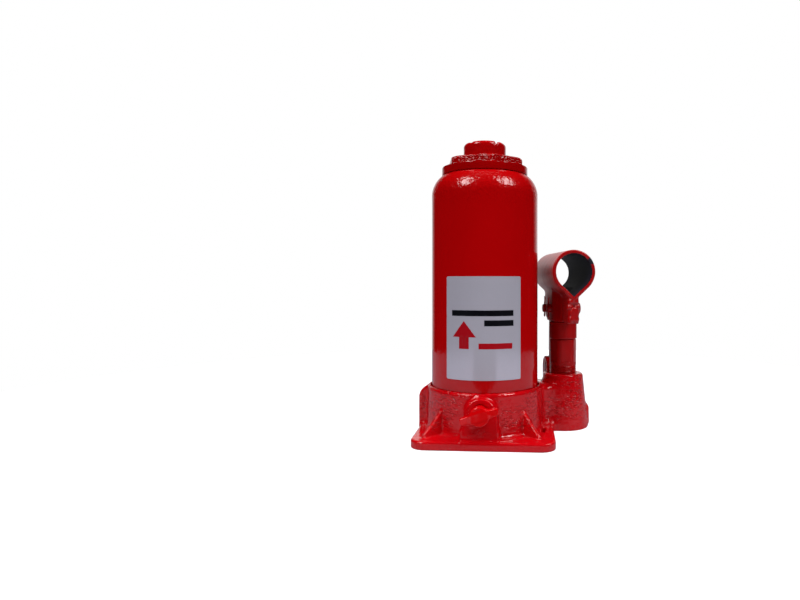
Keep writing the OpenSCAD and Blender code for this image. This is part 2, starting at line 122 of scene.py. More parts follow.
def roundCorners(corners, steps=6):
    # An outline of (across, up, radius) corners, open ended. Each corner becomes an arc that touches both its sides.
    flat = [np.array(c[:2], float) for c in corners]
    out = []
    for k, here in enumerate(flat):
        r = corners[k][2] if len(corners[k]) > 2 else 0
        if r <= 0 or k in (0, len(flat) - 1):
            out.append(here)
            continue
        back, ahead = flat[k - 1] - here, flat[k + 1] - here
        back, ahead = back / np.linalg.norm(back), ahead / np.linalg.norm(ahead)
        half = math.acos(np.clip(back @ ahead, -1, 1)) / 2
        middle = here + (back + ahead) / np.linalg.norm(back + ahead) * r / math.sin(half)
        first = here + back * r / math.tan(half) - middle
        last = here + ahead * r / math.tan(half) - middle
        sweep = math.atan2(first[0] * last[1] - first[1] * last[0], first @ last)
        for t in np.linspace(0, sweep, steps + 1):
            c, s = math.cos(t), math.sin(t)
            out.append(middle + np.array([first[0] * c - first[1] * s, first[0] * s + first[1] * c]))
    return np.array(out)


axisGap = 0.05  # turned shapes end this far from their axis, and a small flat face closes them


def lathe(profile, segments=160, centre=(0, 0), wrap=False):
    # The profile's (radius, height) points turned about a vertical axis. It runs up on the outside. Where it is not
    # wrapped into a ring, its two ends are closed with flat faces.
    profile = np.asarray(profile, float)
    turn = np.linspace(0, 2 * math.pi, segments, endpoint=False)
    r, z = profile[:, 0][:, None], profile[:, 1][:, None]
    points = np.stack([centre[0] + r * np.cos(turn), centre[1] + r * np.sin(turn), z + 0 * turn], -1).reshape(-1, 3)
    faces = gridFaces(len(profile), segments, wrapRows=wrap, wrapColumns=True).tolist()
    if not wrap:
        faces.append(list(range(segments))[::-1])
        faces.append([(len(profile) - 1) * segments + k for k in range(segments)])
    return points, faces


def sweepTube(path, radius, sides=12):
    # A round rod along a path: at each point a circle square to the path, turned as little as possible from the last.
    path = np.asarray(path, float)
    ahead = np.gradient(path, axis=0)
    ahead /= np.linalg.norm(ahead, axis=1)[:, None]
    side = np.cross(ahead[0], [0.3, 0.5, 0.8])
    frames = []
    for t in ahead:
        side = side - (side @ t) * t
        side /= np.linalg.norm(side)
        frames.append(side)
    side = np.array(frames)
    other = np.cross(ahead, side)
    a = np.linspace(0, 2 * math.pi, sides, endpoint=False)
    size = np.broadcast_to(radius, len(path))[:, None, None]
    ring = side[:, None] * np.cos(a)[None, :, None] + other[:, None] * np.sin(a)[None, :, None]
    points = (path[:, None] + size * ring).reshape(-1, 3)
    faces = gridFaces(len(path), sides, wrapColumns=True).tolist()
    faces.append(list(range(sides))[::-1])
    faces.append([(len(path) - 1) * sides + k for k in range(sides)])
    return points, faces


# Shapes as distance fields.
# A field is a function of x, y, z arrays in millimetres: below zero inside the shape, above zero outside.


def softMin(a, b, k):
    # the union of two shapes with a fillet of about k between them
    h = np.clip(0.5 + 0.5 * (b - a) / k, 0, 1)
    return b + (a - b) * h - k * h * (1 - h)


def softMax(a, b, k):
    # the overlap of two shapes, its edge rounded by about k
    return -softMin(-a, -b, k)


def rectangle(x, y, halfX, halfY, r=0.0):
    # distance to a rectangle about the origin with corners of radius r: how far past both sides, taken together
    a, b = abs(x) - halfX + r, abs(y) - halfY + r
    return np.hypot(np.maximum(a, 0), np.maximum(b, 0)) + np.minimum(np.maximum(a, b), 0) - r


def slab(flat, along, low, high, edge):
    # a flat outline given thickness from low to high, its edges rounded
    a, b = flat + edge, abs(along - (low + high) / 2) - (high - low) / 2 + edge
    return np.hypot(np.maximum(a, 0), np.maximum(b, 0)) + np.minimum(np.maximum(a, b), 0) - edge


def polygonField(x, y, corners):
    # distance to a closed outline: the nearest side's, with the sign changed at each side crossed on the way out
    best, sign = np.inf, 1.0
    for (ax, ay), (bx, by) in zip(corners, corners[1:] + corners[:1]):
        ex, ey, wx, wy = bx - ax, by - ay, x - ax, y - ay
        t = np.clip((wx * ex + wy * ey) / (ex * ex + ey * ey), 0, 1)
        best = np.minimum(best, (wx - ex * t) ** 2 + (wy - ey * t) ** 2)
        left = ex * wy > ey * wx
        up, down = (ay <= y) & (by > y), (ay > y) & (by <= y)
        sign = np.where((up & left) | (down & ~left), -sign, sign)
    return sign * np.sqrt(best)


def arch(across, up, halfWidth, springing):
    # an upright strip with a round top
    return np.hypot(across, np.maximum(up - springing, 0)) - halfWidth


def surfaceNet(field, low, high, step):
    # Each grid cell that the surface field = 0 passes through gets a point, at the mean of the places where its edges
    # are crossed. Each crossed grid edge gets a face through the four cells round it. The points then settle on the
    # surface along the field's slope.
    line = [np.arange(a, b + step, step) for a, b in zip(low, high)]
    shape = tuple(len(a) for a in line)
    x, y, z = line[0][:, None, None], line[1][None, :, None], line[2][None, None, :]
    value = np.broadcast_to(field(x, y, z), shape)
    cells = tuple(n - 1 for n in shape)
    total, count, crossings = np.zeros(cells + (3,)), np.zeros(cells), []
    for axis in range(3):
        head = tuple(slice(None, -1) if k == axis else slice(None) for k in range(3))
        tail = tuple(slice(1, None) if k == axis else slice(None) for k in range(3))
        a, b = value[head], value[tail]
        crossed = (a < 0) != (b < 0)
        share = np.where(crossed, a / np.where(crossed, a - b, 1), 0)
        place = np.stack(np.broadcast_arrays(x[:shape[0] - (axis == 0)], y[:, :shape[1] - (axis == 1)],
                                             z[:, :, :shape[2] - (axis == 2)]), -1).astype(float)
        place[..., axis] += share * step
        place *= crossed[..., None]
        others = [k for k in range(3) if k != axis]
        for shifts in ((0, 0), (0, 1), (1, 0), (1, 1)):
            cut = [slice(None)] * 3
            for k, s in zip(others, shifts):
                cut[k] = slice(s, shape[k] - 1 + s)
            total += place[tuple(cut)]
            count += crossed[tuple(cut)]
        crossings.append((axis, others, crossed, a < 0))
    used = count > 0
    number = np.full(cells, -1)
    number[used] = np.arange(used.sum())
    points = total[used] / count[used][:, None]
    faces = []
    for axis, others, crossed, inFirst in crossings:
        at = np.argwhere(crossed)
        p, q = others
        at = at[(at[:, p] > 0) & (at[:, p] < cells[p]) & (at[:, q] > 0) & (at[:, q] < cells[q])]
        corners = []
        for stepP, stepQ in ((1, 1), (0, 1), (0, 0), (1, 0)):
            cell = at.copy()
            cell[:, p] -= stepP
            cell[:, q] -= stepQ
            corners.append(number[tuple(cell.T)])
        quad = np.stack(corners, -1)
        flip = inFirst[tuple(at.T)] == (axis == 1)
        quad[flip] = quad[flip][:, ::-1]
        faces.append(quad)
    for _ in range(2):
        here = field(*points.T)
        h = 0.02 * step
        slope = np.stack([(field(*(points + h * unit).T) - here) / h for unit in np.eye(3)], -1)
        shift = here / ((slope ** 2).sum(-1) + 1e-6)
        points = points - np.clip(shift, -0.4 * step, 0.4 * step)[:, None] * slope
    return points, np.vstack(faces)


def ripple(x, y, z, wavelength, seed, waves=7, squash=1.0):
    # A smooth lumpy value between about -1 and 1: a sum of sine waves in set directions. squash above 1 packs the
    # lumps closer in height than across.
    draw = np.random.default_rng(seed)
    total = 0.0
    for _ in range(waves):
        d = draw.normal(size=3)
        d = d / np.linalg.norm(d) * 2 * math.pi / wavelength * draw.uniform(0.7, 1.4)
        total = total + np.sin(d[0] * x + d[1] * y + d[2] * squash * z + draw.uniform(0, 6.28))
    return total / math.sqrt(waves)


# Materials. Two shader groups are shared: the grain of a painted casting, with painted shade in its creases,
# and the faint ripple of sprayed paint.


def makeGroup(name, inputs, outputs):
    # an empty shader group with number inputs, each with its starting value, and number outputs
    group = bpy.data.node_groups.new(name, "ShaderNodeTree")
    for label, start in inputs:
        group.interface.new_socket(name=label, in_out="INPUT", socket_type="NodeSocketFloat").default_value = start
    for label in outputs:
        group.interface.new_socket(name=label, in_out="OUTPUT", socket_type="NodeSocketFloat")
    return group, group.nodes.new("NodeGroupInput"), group.nodes.new("NodeGroupOutput")


def wire(tree, kind, settings=None, **sockets):
    # a new node; keyword names are its input sockets, with _ for a space, and a value or another node's output
    node = tree.nodes.new(kind)
    for key, value in (settings or {}).items():
        setattr(node, key, value)
    for key, value in sockets.items():
        label = key.replace("_", " ")
        socket = node.inputs[int(label[1:])] if label[1:].isdigit() else node.inputs[label]
        if isinstance(value, bpy.types.NodeSocket):
            tree.links.new(value, socket)
        else:
            socket.default_value = value
    return node


def calculate(tree, operation, a, b=None):
    # one piece of arithmetic on values or outputs
    node = wire(tree, "ShaderNodeMath", {"operation": operation}, i0=a)
    if b is not None:
        if isinstance(b, bpy.types.NodeSocket):
            tree.links.new(b, node.inputs[1])
        else:
            node.inputs[1].default_value = b
    return node.outputs[0]


grain = {
    # Scales count features across a metre. An edge is where a noise, from 0 to 1, goes from one state to the other.
    "creaseScale": 330.0, "creaseEdge": (0.38, 0.5), "creaseDepth": 0.38,
    "creaseLevel": (1.0, 1.0, 2.3),            # squeezed in height, so that creases lie level
    "bendScale": 250.0, "bendBy": (0.0015, 0.0015, 0.0025),
    "lumpScale": 150.0, "lumpDepth": 0.4,
    "pitScale": 700.0, "pitEdge": (0.22, 0.30), "pitDepth": 0.4,
    "patchScale": 45.0, "patchEdge": (0.38, 0.56), "between": 0.1,
    "plateFade": (0.006, 0.014), "middleFade": (0.011, 0.017), "faded": 0.15,
    "creaseShade": 0.5,                             # how far a crease goes over to the deeper colour: painted shade in the creases
}


def noise(tree, place, scale, **values):
    # a noise from 0 to 1, finer as the scale rises
    return wire(tree, "ShaderNodeTexNoise", Vector=place, Scale=scale, **values)


def between(tree, value, edge, start, end, smooth=False):
    # start below the edge's first value, end above its second, and a slope between
    settings = {"interpolation_type": "SMOOTHSTEP"} if smooth else {}
    return wire(tree, "ShaderNodeMapRange", settings, Value=value, i1=edge[0], i2=edge[1], i3=start, i4=end).outputs[0]


def makeCastGrainAndShade(g):
    # Thick paint over rough sand casting: narrow creases lying mostly level, on slower lumps, with a few pin holes.
    # A crease is where the noise falls below its middle, so the skin between stays even. The creases come in patches,
    # and fade out on the plate and along the middle, where the valve boss is.
    tree, given, out = makeGroup("castGrainAndShade", [("Scale", 1.0), ("Pits", 0.5)], ["Height", "CreaseShade"])
    place = wire(tree, "ShaderNodeTexCoord").outputs["Object"]
    flat = wire(tree, "ShaderNodeMapping", i0=place, i3=g["creaseLevel"])
    scales = {key: calculate(tree, "MULTIPLY", given.outputs["Scale"], g[key + "Scale"])
              for key in ("bend", "crease", "lump", "pit", "patch")}
    bend = noise(tree, place, scales["bend"], Detail=1.0)
    pushed = wire(tree, "ShaderNodeVectorMath", {"operation": "MULTIPLY_ADD"}, i0=bend.outputs["Color"],
                  i1=g["bendBy"], i2=flat.outputs[0])
    wrinkle = noise(tree, pushed.outputs[0], scales["crease"], Detail=1.5, Roughness=0.4)
    even = between(tree, wrinkle.outputs["Fac"], g["creaseEdge"], 0.0, 1.0, smooth=True)
    lump = noise(tree, place, scales["lump"], Detail=1.0)
    pits = noise(tree, place, scales["pit"], Detail=0.0)
    hole = between(tree, pits.outputs["Fac"], g["pitEdge"], 1.0, 0.0)
    patch = noise(tree, place, scales["patch"], Detail=1.0)
    share = between(tree, patch.outputs["Fac"], g["patchEdge"], g["between"], 1.0)
    parts = wire(tree, "ShaderNodeSeparateXYZ", Vector=place)
    aside = calculate(tree, "ABSOLUTE", parts.outputs["X"])
    for value, edge in ((parts.outputs["Z"], g["plateFade"]), (aside, g["middleFade"])):
        share = calculate(tree, "MULTIPLY", share, between(tree, value, edge, g["faded"], 1.0))
    crease = calculate(tree, "MULTIPLY", calculate(tree, "SUBTRACT", 1.0, even), share)
    height = calculate(tree, "SUBTRACT", calculate(tree, "MULTIPLY", lump.outputs["Fac"], g["lumpDepth"]),
                       calculate(tree, "MULTIPLY", crease, g["creaseDepth"]))
    dent = calculate(tree, "MULTIPLY", calculate(tree, "MULTIPLY", hole, given.outputs["Pits"]), g["pitDepth"])
    tree.links.new(calculate(tree, "SUBTRACT", height, dent), out.inputs["Height"])
    # The creases' share also goes out as painted shade, which darkens the colour in them.
    tree.links.new(calculate(tree, "MULTIPLY", crease, g["creaseShade"]), out.inputs["CreaseShade"])
    return tree


def makeSprayRipple(fineScale, slowScale):
    # The orange-peel ripple of sprayed gloss paint, as strong as Peel says, over a slower swell.
    tree, given, out = makeGroup("sprayRipple", [("Scale", 1.0), ("Peel", 0.12)], ["Height", "Cloud"])
    place = wire(tree, "ShaderNodeTexCoord").outputs["Object"]
    size = given.outputs["Scale"]
    fine = noise(tree, place, calculate(tree, "MULTIPLY", size, fineScale), Detail=1.0)
    slow = noise(tree, place, calculate(tree, "MULTIPLY", size, slowScale), Detail=2.0)
    peel = calculate(tree, "MULTIPLY", fine.outputs["Fac"], given.outputs["Peel"])
    tree.links.new(calculate(tree, "ADD", peel, slow.outputs["Fac"]), out.inputs["Height"])
    tree.links.new(slow.outputs["Fac"], out.inputs["Cloud"])
    return tree


castGrainAndShade = makeCastGrainAndShade(grain)
sprayRipple = makeSprayRipple(650.0, 70.0)


def newMaterial(name, **values):
    # keyword names are the shader's sockets, with _ for a space
    material = bpy.data.materials.new(name)
    material.use_nodes = True
    tree = material.node_tree
    shader = tree.nodes["Principled BSDF"]
    for key, value in values.items():
        shader.inputs[key.replace("_", " ")].default_value = value
    material.diffuse_color = shader.inputs["Base Color"].default_value[:]
    return material, tree, shader


def useGroup(tree, group, **values):
    # a shared group, with this material's own values
    node = wire(tree, "ShaderNodeGroup", {"node_tree": group})
    for key, value in values.items():
        node.inputs[key].default_value = value
    return node


def blendColour(tree, share, a, b):
    # a where share is 0, b where it is 1
    node = wire(tree, "ShaderNodeMix", {"data_type": "RGBA"})
    tree.links.new(share, node.inputs[0])
    for socket, value in ((node.inputs[6], a), (node.inputs[7], b)):
        if isinstance(value, bpy.types.NodeSocket):
            tree.links.new(value, socket)
        else:
            socket.default_value = value
    return node.outputs[2]


def bump(tree, shader, height, distance, strength=1.0):
    # a height from 0 to 1 becomes relief that many metres deep
    node = wire(tree, "ShaderNodeBump", Height=height, Strength=strength, Distance=distance)
    tree.links.new(node.outputs[0], shader.inputs["Normal"])


paint = {
    "red": (0.46, 0.0005, 0.0012, 1),
    "thinRed": (0.50, 0.0008, 0.002, 1),
    # castRed, for the casting, is lighter than the tank's red: painted light, standing in for light bounced up from the
    # floor.
    "castRed": (0.57, 0.001, 0.004, 1),
    # deepRed is the painted shade in the casting's creases, and the base of the pins' own paint.
    "deepRed": (0.26, 0.0002, 0.0007, 1),
    "dullRed": (0.33, 0.0004, 0.0012, 1),
    # brightRed, for the release valve, is a lighter copy of the casting's red: painted light on the valve's head and
    # ears.
    "brightRed": (0.66, 0.0006, 0.002, 1),
    "roughness": 0.06,
    "castRoughness": 0.1,
    "grainHeight": 0.0006,
}


def heightMask(tree, low, high, below, above):
    # a value that goes from below to above as the height rises from low to high
    place = wire(tree, "ShaderNodeTexCoord").outputs["Object"]
    up = wire(tree, "ShaderNodeSeparateXYZ", Vector=place).outputs["Z"]
    return between(tree, up, (low, high), below, above)


def makeSmoothPaint(name, scale=1.0, roughness=paint["roughness"], peel=0.12, specular=0.5, relief=0.0001,
                    colours=("red", "thinRed")):
    # sprayed gloss paint: the ripple is its relief, and the slow swell blends its two reds
    material, tree, shader = newMaterial(name, Base_Color=paint[colours[0]], Roughness=roughness,
                                         Specular_IOR_Level=specular)
    ripple = useGroup(tree, sprayRipple, Scale=scale, Peel=peel)
    bump(tree, shader, ripple.outputs["Height"], relief)
    tint = blendColour(tree, ripple.outputs["Cloud"], *(paint[key] for key in colours))
    tree.links.new(tint, shader.inputs["Base Color"])
    return material


def makeTwoPartPaint(name, low, high, peel, roughness, **values):
    # The same paint, with a coarser orange peel and a softer gloss above a height than below it.
    material = makeSmoothPaint(name, **values)
    tree = material.node_tree
    group = next(node for node in tree.nodes if node.bl_idname == "ShaderNodeGroup")
    tree.links.new(heightMask(tree, low, high, *peel), group.inputs["Peel"])
    tree.links.new(heightMask(tree, low, high, *roughness), tree.nodes["Principled BSDF"].inputs["Roughness"])
    return material


def makeCastPaint(name, scale=1.0, height=paint["grainHeight"], pits=0.5, colours=("castRed", "deepRed")):
    # thick paint on the casting: the grain is its relief, and a deeper red is painted into the creases as shade
    material, tree, shader = newMaterial(name, Base_Color=paint[colours[0]], Roughness=paint["castRoughness"])
    skin = useGroup(tree, castGrainAndShade, Scale=scale, Pits=pits)
    bump(tree, shader, skin.outputs["Height"], height)
    tint = blendColour(tree, skin.outputs["CreaseShade"], *(paint[key] for key in colours))
    tree.links.new(tint, shader.inputs["Base Color"])
    return material


chip = {"at": (0.0835, -0.0089, 0.1355), "ragged": 0.0022, "edge": (0.0039, 0.0042), "colour": (0.02, 0.02, 0.028, 1)}


def makeSocketPaint():
    # Brushed paint, with one chip down to bare sheet on the front edge of the tube.
    material = makeSmoothPaint("socketPaint", roughness=0.3, peel=0.3, relief=0.00003, colours=("dullRed", "red"))
    tree = material.node_tree
    shader = tree.nodes["Principled BSDF"]
    place = wire(tree, "ShaderNodeTexCoord").outputs["Object"]
    ragged = noise(tree, place, 320.0, Detail=3.0)
    fromChip = wire(tree, "ShaderNodeVectorMath", {"operation": "DISTANCE"}, i0=place, i1=chip["at"])
    edge = calculate(tree, "ADD", fromChip.outputs["Value"],
                     calculate(tree, "MULTIPLY", ragged.outputs["Fac"], chip["ragged"]))
    bare = between(tree, edge, chip["edge"], 1.0, 0.0)
    painted = shader.inputs["Base Color"].links[0].from_socket
    tree.links.new(blendColour(tree, bare, painted, chip["colour"]), shader.inputs["Base Color"])
    return material


steel = {
    "squeeze": (1.0, 1.0, 60.0),   # packs the noise in height, into rings round an upright axis
    "lineScale": 120.0, "lineDepth": 0.00004, "stainScale": 90.0,
    "stained": 0.72,               # how bright the most stained places are
}


def makeSteel(name, colour, roughness, lines=0.0, metallic=1.0):
    # Turned or ground steel: fine rings across the axis of turning, which also vary its gloss, and faint cloudy
    # staining.
    material, tree, shader = newMaterial(name, Base_Color=colour, Metallic=metallic, Roughness=roughness)
    place = wire(tree, "ShaderNodeTexCoord").outputs["Object"]
    squeezed = wire(tree, "ShaderNodeMapping", i0=place, i3=steel["squeeze"])
    marks = noise(tree, squeezed.outputs[0], steel["lineScale"], Detail=2.0)
    stain = noise(tree, place, steel["stainScale"], Detail=4.0)
    tint = blendColour(tree, stain.outputs["Fac"], colour, tuple(steel["stained"] * c for c in colour[:3]) + (1,))
    tree.links.new(tint, shader.inputs["Base Color"])
    mixed = calculate(tree, "ADD", calculate(tree, "MULTIPLY", marks.outputs["Fac"], lines), roughness)
    tree.links.new(mixed, shader.inputs["Roughness"])
    bump(tree, shader, marks.outputs["Fac"], steel["lineDepth"], strength=min(1.0, 2 * lines + 0.1))
    return material


def makeMatt(name, colour, roughness, scale=700.0, relief=0.00008, specular=0.5, metallic=0.0):
    # rubber, nylon, film, ink, or the near black of scale and painted shade in the socket: fine grain, in relief and in
    # the colour
    material, tree, shader = newMaterial(name, Base_Color=colour, Roughness=roughness, Specular_IOR_Level=specular,
                                         Metallic=metallic)
    place = wire(tree, "ShaderNodeTexCoord").outputs["Object"]
    speck = noise(tree, place, scale, Detail=3.0)
    paler = 1.12
    tint = blendColour(tree, speck.outputs["Fac"], colour, tuple(min(1, paler * c) for c in colour[:3]) + (1,))
    tree.links.new(tint, shader.inputs["Base Color"])
    bump(tree, shader, speck.outputs["Fac"], relief)
    return material


smoothPaint = makeSmoothPaint("smoothPaint")
tankPaint = makeTwoPartPaint("tankPaint", 0.176, 0.188, (0.2, 4.0), (0.07, 0.15), scale=0.62)
castPaint = makeCastPaint("castPaint")
nutPaint = makeTwoPartPaint("nutPaint", 0.2085, 0.2105, (0.2, 8.5), (0.08, 0.12), scale=1.1,
                            colours=("red", "dullRed"))
pinPaint = makeSmoothPaint("pinPaint", scale=1.4, roughness=0.3, peel=0.5, specular=0.25, relief=0.00006,
                           colours=("deepRed", "red"))
# the release valve: brightRed as painted light, going over to castRed as painted shade in its creases
valvePaint = makeCastPaint("valvePaint", height=0.00008, pits=0.0, colours=("brightRed", "castRed"))
# near black: the bare tube's scale, and painted shade inside the socket
tubeScaleAndShade = makeMatt("tubeScaleAndShade", (0.009, 0.009, 0.019, 1), 0.7, scale=500.0, specular=0.12)
socketPaint = makeSocketPaint()
saddlePaint = makeSmoothPaint("saddlePaint", scale=1.2, roughness=0.14, peel=0.5, relief=0.00006)
groundSteel = makeSteel("groundSteel", (0.55, 0.56, 0.58, 1), 0.26, lines=0.12, metallic=0.6)
plainSteel = makeSteel("plainSteel", (0.42, 0.43, 0.45, 1), 0.34, lines=0.2, metallic=0.8)
springSteel = makeSteel("springSteel", (0.30, 0.31, 0.33, 1), 0.35, lines=0.1)
copperWasher = makeSteel("copperWasher", (0.72, 0.36, 0.20, 1), 0.35, lines=0.1)
sealRubber = makeMatt("sealRubber", (0.018, 0.018, 0.019, 1), 0.55)
sealNylon = makeMatt("sealNylon", (0.72, 0.69, 0.60, 1), 0.45)
labelFilm = makeMatt("labelFilm", (0.53, 0.51, 0.585, 1), 0.14, scale=1500.0, relief=0.00001, metallic=0.25)
labelBlack = makeMatt("labelBlack", (0.003, 0.003, 0.005, 1), 0.3, relief=0.00001, specular=0.2)
labelRed = makeMatt("labelRed", (0.38, 0.0008, 0.006, 1), 0.3, relief=0.00001, specular=0.2)

slotMaterials = {
    "cast_red": castPaint, "smooth_red": smoothPaint, "pin_red": pinPaint, "label_grey": labelFilm,
    "ground_steel": groundSteel, "plain_steel": plainSteel, "spring_steel": springSteel,
    "seal_rubber": sealRubber, "seal_nylon": sealNylon, "copper_washer": copperWasher,
}
for entry in frame["record"]["subparts"]:
    node = nodes[entry["node"]]
    node.data.materials.clear()
    node.data.materials.append(slotMaterials[entry["material_slot"]])
print("materials made")


# The linkage lies in an upright plane through the pump axis: ahead is along the handle socket, across to its right.
pumpAt = (63.5, 23.0)
swung = 10.5                # degrees that the handle socket is swung out from straight ahead
handleTurn = math.radians(swung - 90)
aheadWay = (math.cos(handleTurn), math.sin(handleTurn))
# Its three pins, as ahead of the pump axis and up from the floor.
basePinAt, topPinAt, plungerPinAt = (-28, 45), (-26, 96), (0, 97)


def toLinkage(x, y):
    # ahead and across: the way from the pump axis, turned by the socket's direction
    dx, dy = x - pumpAt[0], y - pumpAt[1]
    return dx * aheadWay[0] + dy * aheadWay[1], -dx * aheadWay[1] + dy * aheadWay[0]


def fromLinkage(points):
    # the same turn the other way; heights are kept
    ahead, across, up = np.asarray(points, float).T
    return np.stack([pumpAt[0] + ahead * aheadWay[0] - across * aheadWay[1],
                     pumpAt[1] + ahead * aheadWay[1] + across * aheadWay[0], up], -1)


foot = {
    "under": -5,                   # its parts start below the floor, and the underside is cut flat later
    "plate": (52.3, 54.9, 11),     # half width, half depth, corner radius
    "plateMiddle": (1.6, -1), "plateThick": 6.3, "plateEdge": 1.5,
    "hubRadius": 46, "hubHeight": 38.5, "hubEdge": 2.4, "hubFillet": 4,
    "block": [(0, -14), (44, 0.5), (60, 8), (60, 42), (46, 41), (20, 40.5), (0, 30)],
    "blockHeight": 35.5, "blockEdge": 2.5, "blockFillet": 6,
    "pumpBoss": (20.5, 16.2, 44),  # radius at the foot, radius at the rim, height
    "pumpEdge": 1.8,
    "valveBoss": (12.2, 23.5),     # half width, height of the middle of its round top
    "valveMiddle": 0.2,
    "valveFace": -53, "valveBack": -30, "valveFillet": 2.4,
    "valveLean": (0.11, 16),       # its face leans back by this much of the height above that height
    "skirt": (-0.5, 3, 13.4, 12.5, 3),  # the wider part below it: middle, half width, half height, corner radius
    "lug": (-18.5, 18.5, 9.2),     # middle, half length, half width
    "ears": (9, 4.7),              # radius, and half the gap between them
    "lugFillet": 4,
    "rib": [(38, 3), (38, 24), (45.5, 24), (62.5, 8), (62.5, 3)],
    "ribHalf": 1.7, "ribEdge": 1.5, "ribFillet": 1.6, "ribTurns": (-46.5, -132, 132),
    "leftFin": (-43.2, 27, 9.5, 3),        # middle, height of the middle of its top, half width, half thickness
    "rightFin": (73.9, 9.5, 10.9, 4.5, 2),  # middle, half height, half length, corner radius, half thickness
    "slot": ((45.6, -23), (0.7, 10), 1.4, 2.2),  # from, on to, half width, depth left below it
    "lump": 0.02, "lumpSize": 7,
    "cylinderBore": (27.3, 21),    # radius, floor
    "tankGroove": (41.15, 1.75, 31),  # radius at its middle, half width, floor
    "pumpBore": (10.75, 24),
    "valveHeight": 25.8,
    "valveBores": [(6.3, -42), (4.7, -33)],  # radius, how far back
    # Holes drilled up from below for the release passage, the outlet valve and the safety valve: place, radius, depth.
    "drillings": [((0, -31), 3.1, 5), ((44, 32), 4.1, 5.2), ((-20, 24), 3.7, 5.6)],
    "pinBore": 4.05,
    "step": 0.8,
}


def footField(x, y, z):
    # The union of plate, hub, bosses, ribs, fins and lug, with fillets, a lumpy skin, and the holes cut clean
    # afterwards.
    f = foot
    u, v = toLinkage(x, y)
    r = np.hypot(x, y)
    under, blockTop = f["under"], f["blockHeight"]
    plate = slab(rectangle(x - f["plateMiddle"][0], y - f["plateMiddle"][1], *f["plate"]), z, -1, f["plateThick"],
                 f["plateEdge"])
    hub = slab(r - (f["hubRadius"] - z / f["hubHeight"]), z, under, f["hubHeight"], f["hubEdge"])
    shape = softMin(plate, hub, f["hubFillet"])
    block = slab(polygonField(x, y, f["block"]), z, under, blockTop, f["blockEdge"])
    shape = softMin(shape, block, f["blockFillet"])
    wide, narrow, tall = f["pumpBoss"]
    fromPump = np.hypot(x - pumpAt[0], y - pumpAt[1])
    boss = slab(fromPump - (wide - (wide - narrow) * z / tall), z, under, tall, f["pumpEdge"])
    shape = softMin(shape, boss, f["blockFillet"])
    skirtX, skirtZ, *skirtSize = f["skirt"]
    skirt = rectangle(x - skirtX, z - skirtZ, *skirtSize)
    front = softMin(arch(x - f["valveMiddle"], z, *f["valveBoss"]), skirt, 2.5)
    valve = slab(front, y - f["valveLean"][0] * (z - f["valveLean"][1]), f["valveFace"], f["valveBack"], 0.8)
    shape = softMin(shape, valve, f["valveFillet"])
    middle, halfLong, halfWide = f["lug"]
    lug = slab(rectangle(u - middle, v, halfLong, halfWide, 1), z, under, blockTop, 1.2)
    ears = slab(arch(u - basePinAt[0], z, f["ears"][0], basePinAt[1]), abs(v), f["ears"][1], halfWide, 1.2)
    shape = softMin(shape, np.minimum(lug, ears), f["lugFillet"])
    for turn in f["ribTurns"]:
        c, s = math.cos(math.radians(turn)), math.sin(math.radians(turn))
        rib = slab(polygonField(x * c + y * s, z, f["rib"]), y * c - x * s, -f["ribHalf"], f["ribHalf"], f["ribEdge"])
        shape = softMin(shape, rib, f["ribFillet"])
    middle, tall, halfWide, half = f["leftFin"]
    outline = np.minimum(np.hypot(x - middle, z - tall), rectangle(x - middle, z - tall / 2, 0, tall / 2)) - halfWide
    shape = softMin(shape, slab(outline, y, -half, half, 1.8), 3)
    middle, halfTall, halfLong, corner, half = f["rightFin"]
    outline = rectangle(x - middle, z - halfTall, halfLong, halfTall, corner)
    shape = softMin(shape, slab(outline, y - pumpAt[1], -half, half, 1.6), 2.5)
    # a slot in the plate beside the right-hand rib
    (fromX, fromY), (wayX, wayY), halfWide, floor = f["slot"]
    along = np.clip((y - fromY) / wayY, 0, 1)
    slot = np.hypot(x - fromX - wayX * along, y - fromY - wayY * along) - halfWide
    shape = softMax(shape, np.minimum(-slot, z - floor), 0.8)
    shape = shape + f["lump"] * ripple(x, y, z, f["lumpSize"], 3, squash=1.5)
    shape = softMax(shape, -z, 1)
    # The pin's bore is widened to a cone on the left, under the pin's head.
    fromPin = np.hypot(u - basePinAt[0], z - basePinAt[1])
    ringMiddle, ringHalf, ringFloor = f["tankGroove"]
    holes = [
        np.maximum(r - f["cylinderBore"][0], f["cylinderBore"][1] - z),
        np.maximum(abs(r - ringMiddle) - ringHalf, ringFloor - z),
        np.maximum(fromPump - f["pumpBore"][0], f["pumpBore"][1] - z),
        np.maximum(fromPin - np.maximum(f["pinBore"], -3.5 - v), abs(v) - 14),
    ]
    holes += [np.maximum(np.hypot(x, z - f["valveHeight"]) - size, y - back) for size, back in f["valveBores"]]
    holes += [np.maximum(np.hypot(x - at[0], y - at[1]) - size, z - deep) for at, size, deep in f["drillings"]]
    for hole in holes:
        shape = np.maximum(shape, -hole)
    return shape


makePiece("baseCasting", *surfaceNet(footField, (-54, -58, -1.6), (87, 62, 56), foot["step"]), "jack_base", "cast_red",
          ["base_casting"], castPaint)
print("foot casting made")

tank = {"radius": 42, "wall": 2.5, "shoulder": 20, "shoulderHeight": 186.3, "foot": 33, "top": 202.9, "opening": 28.5}


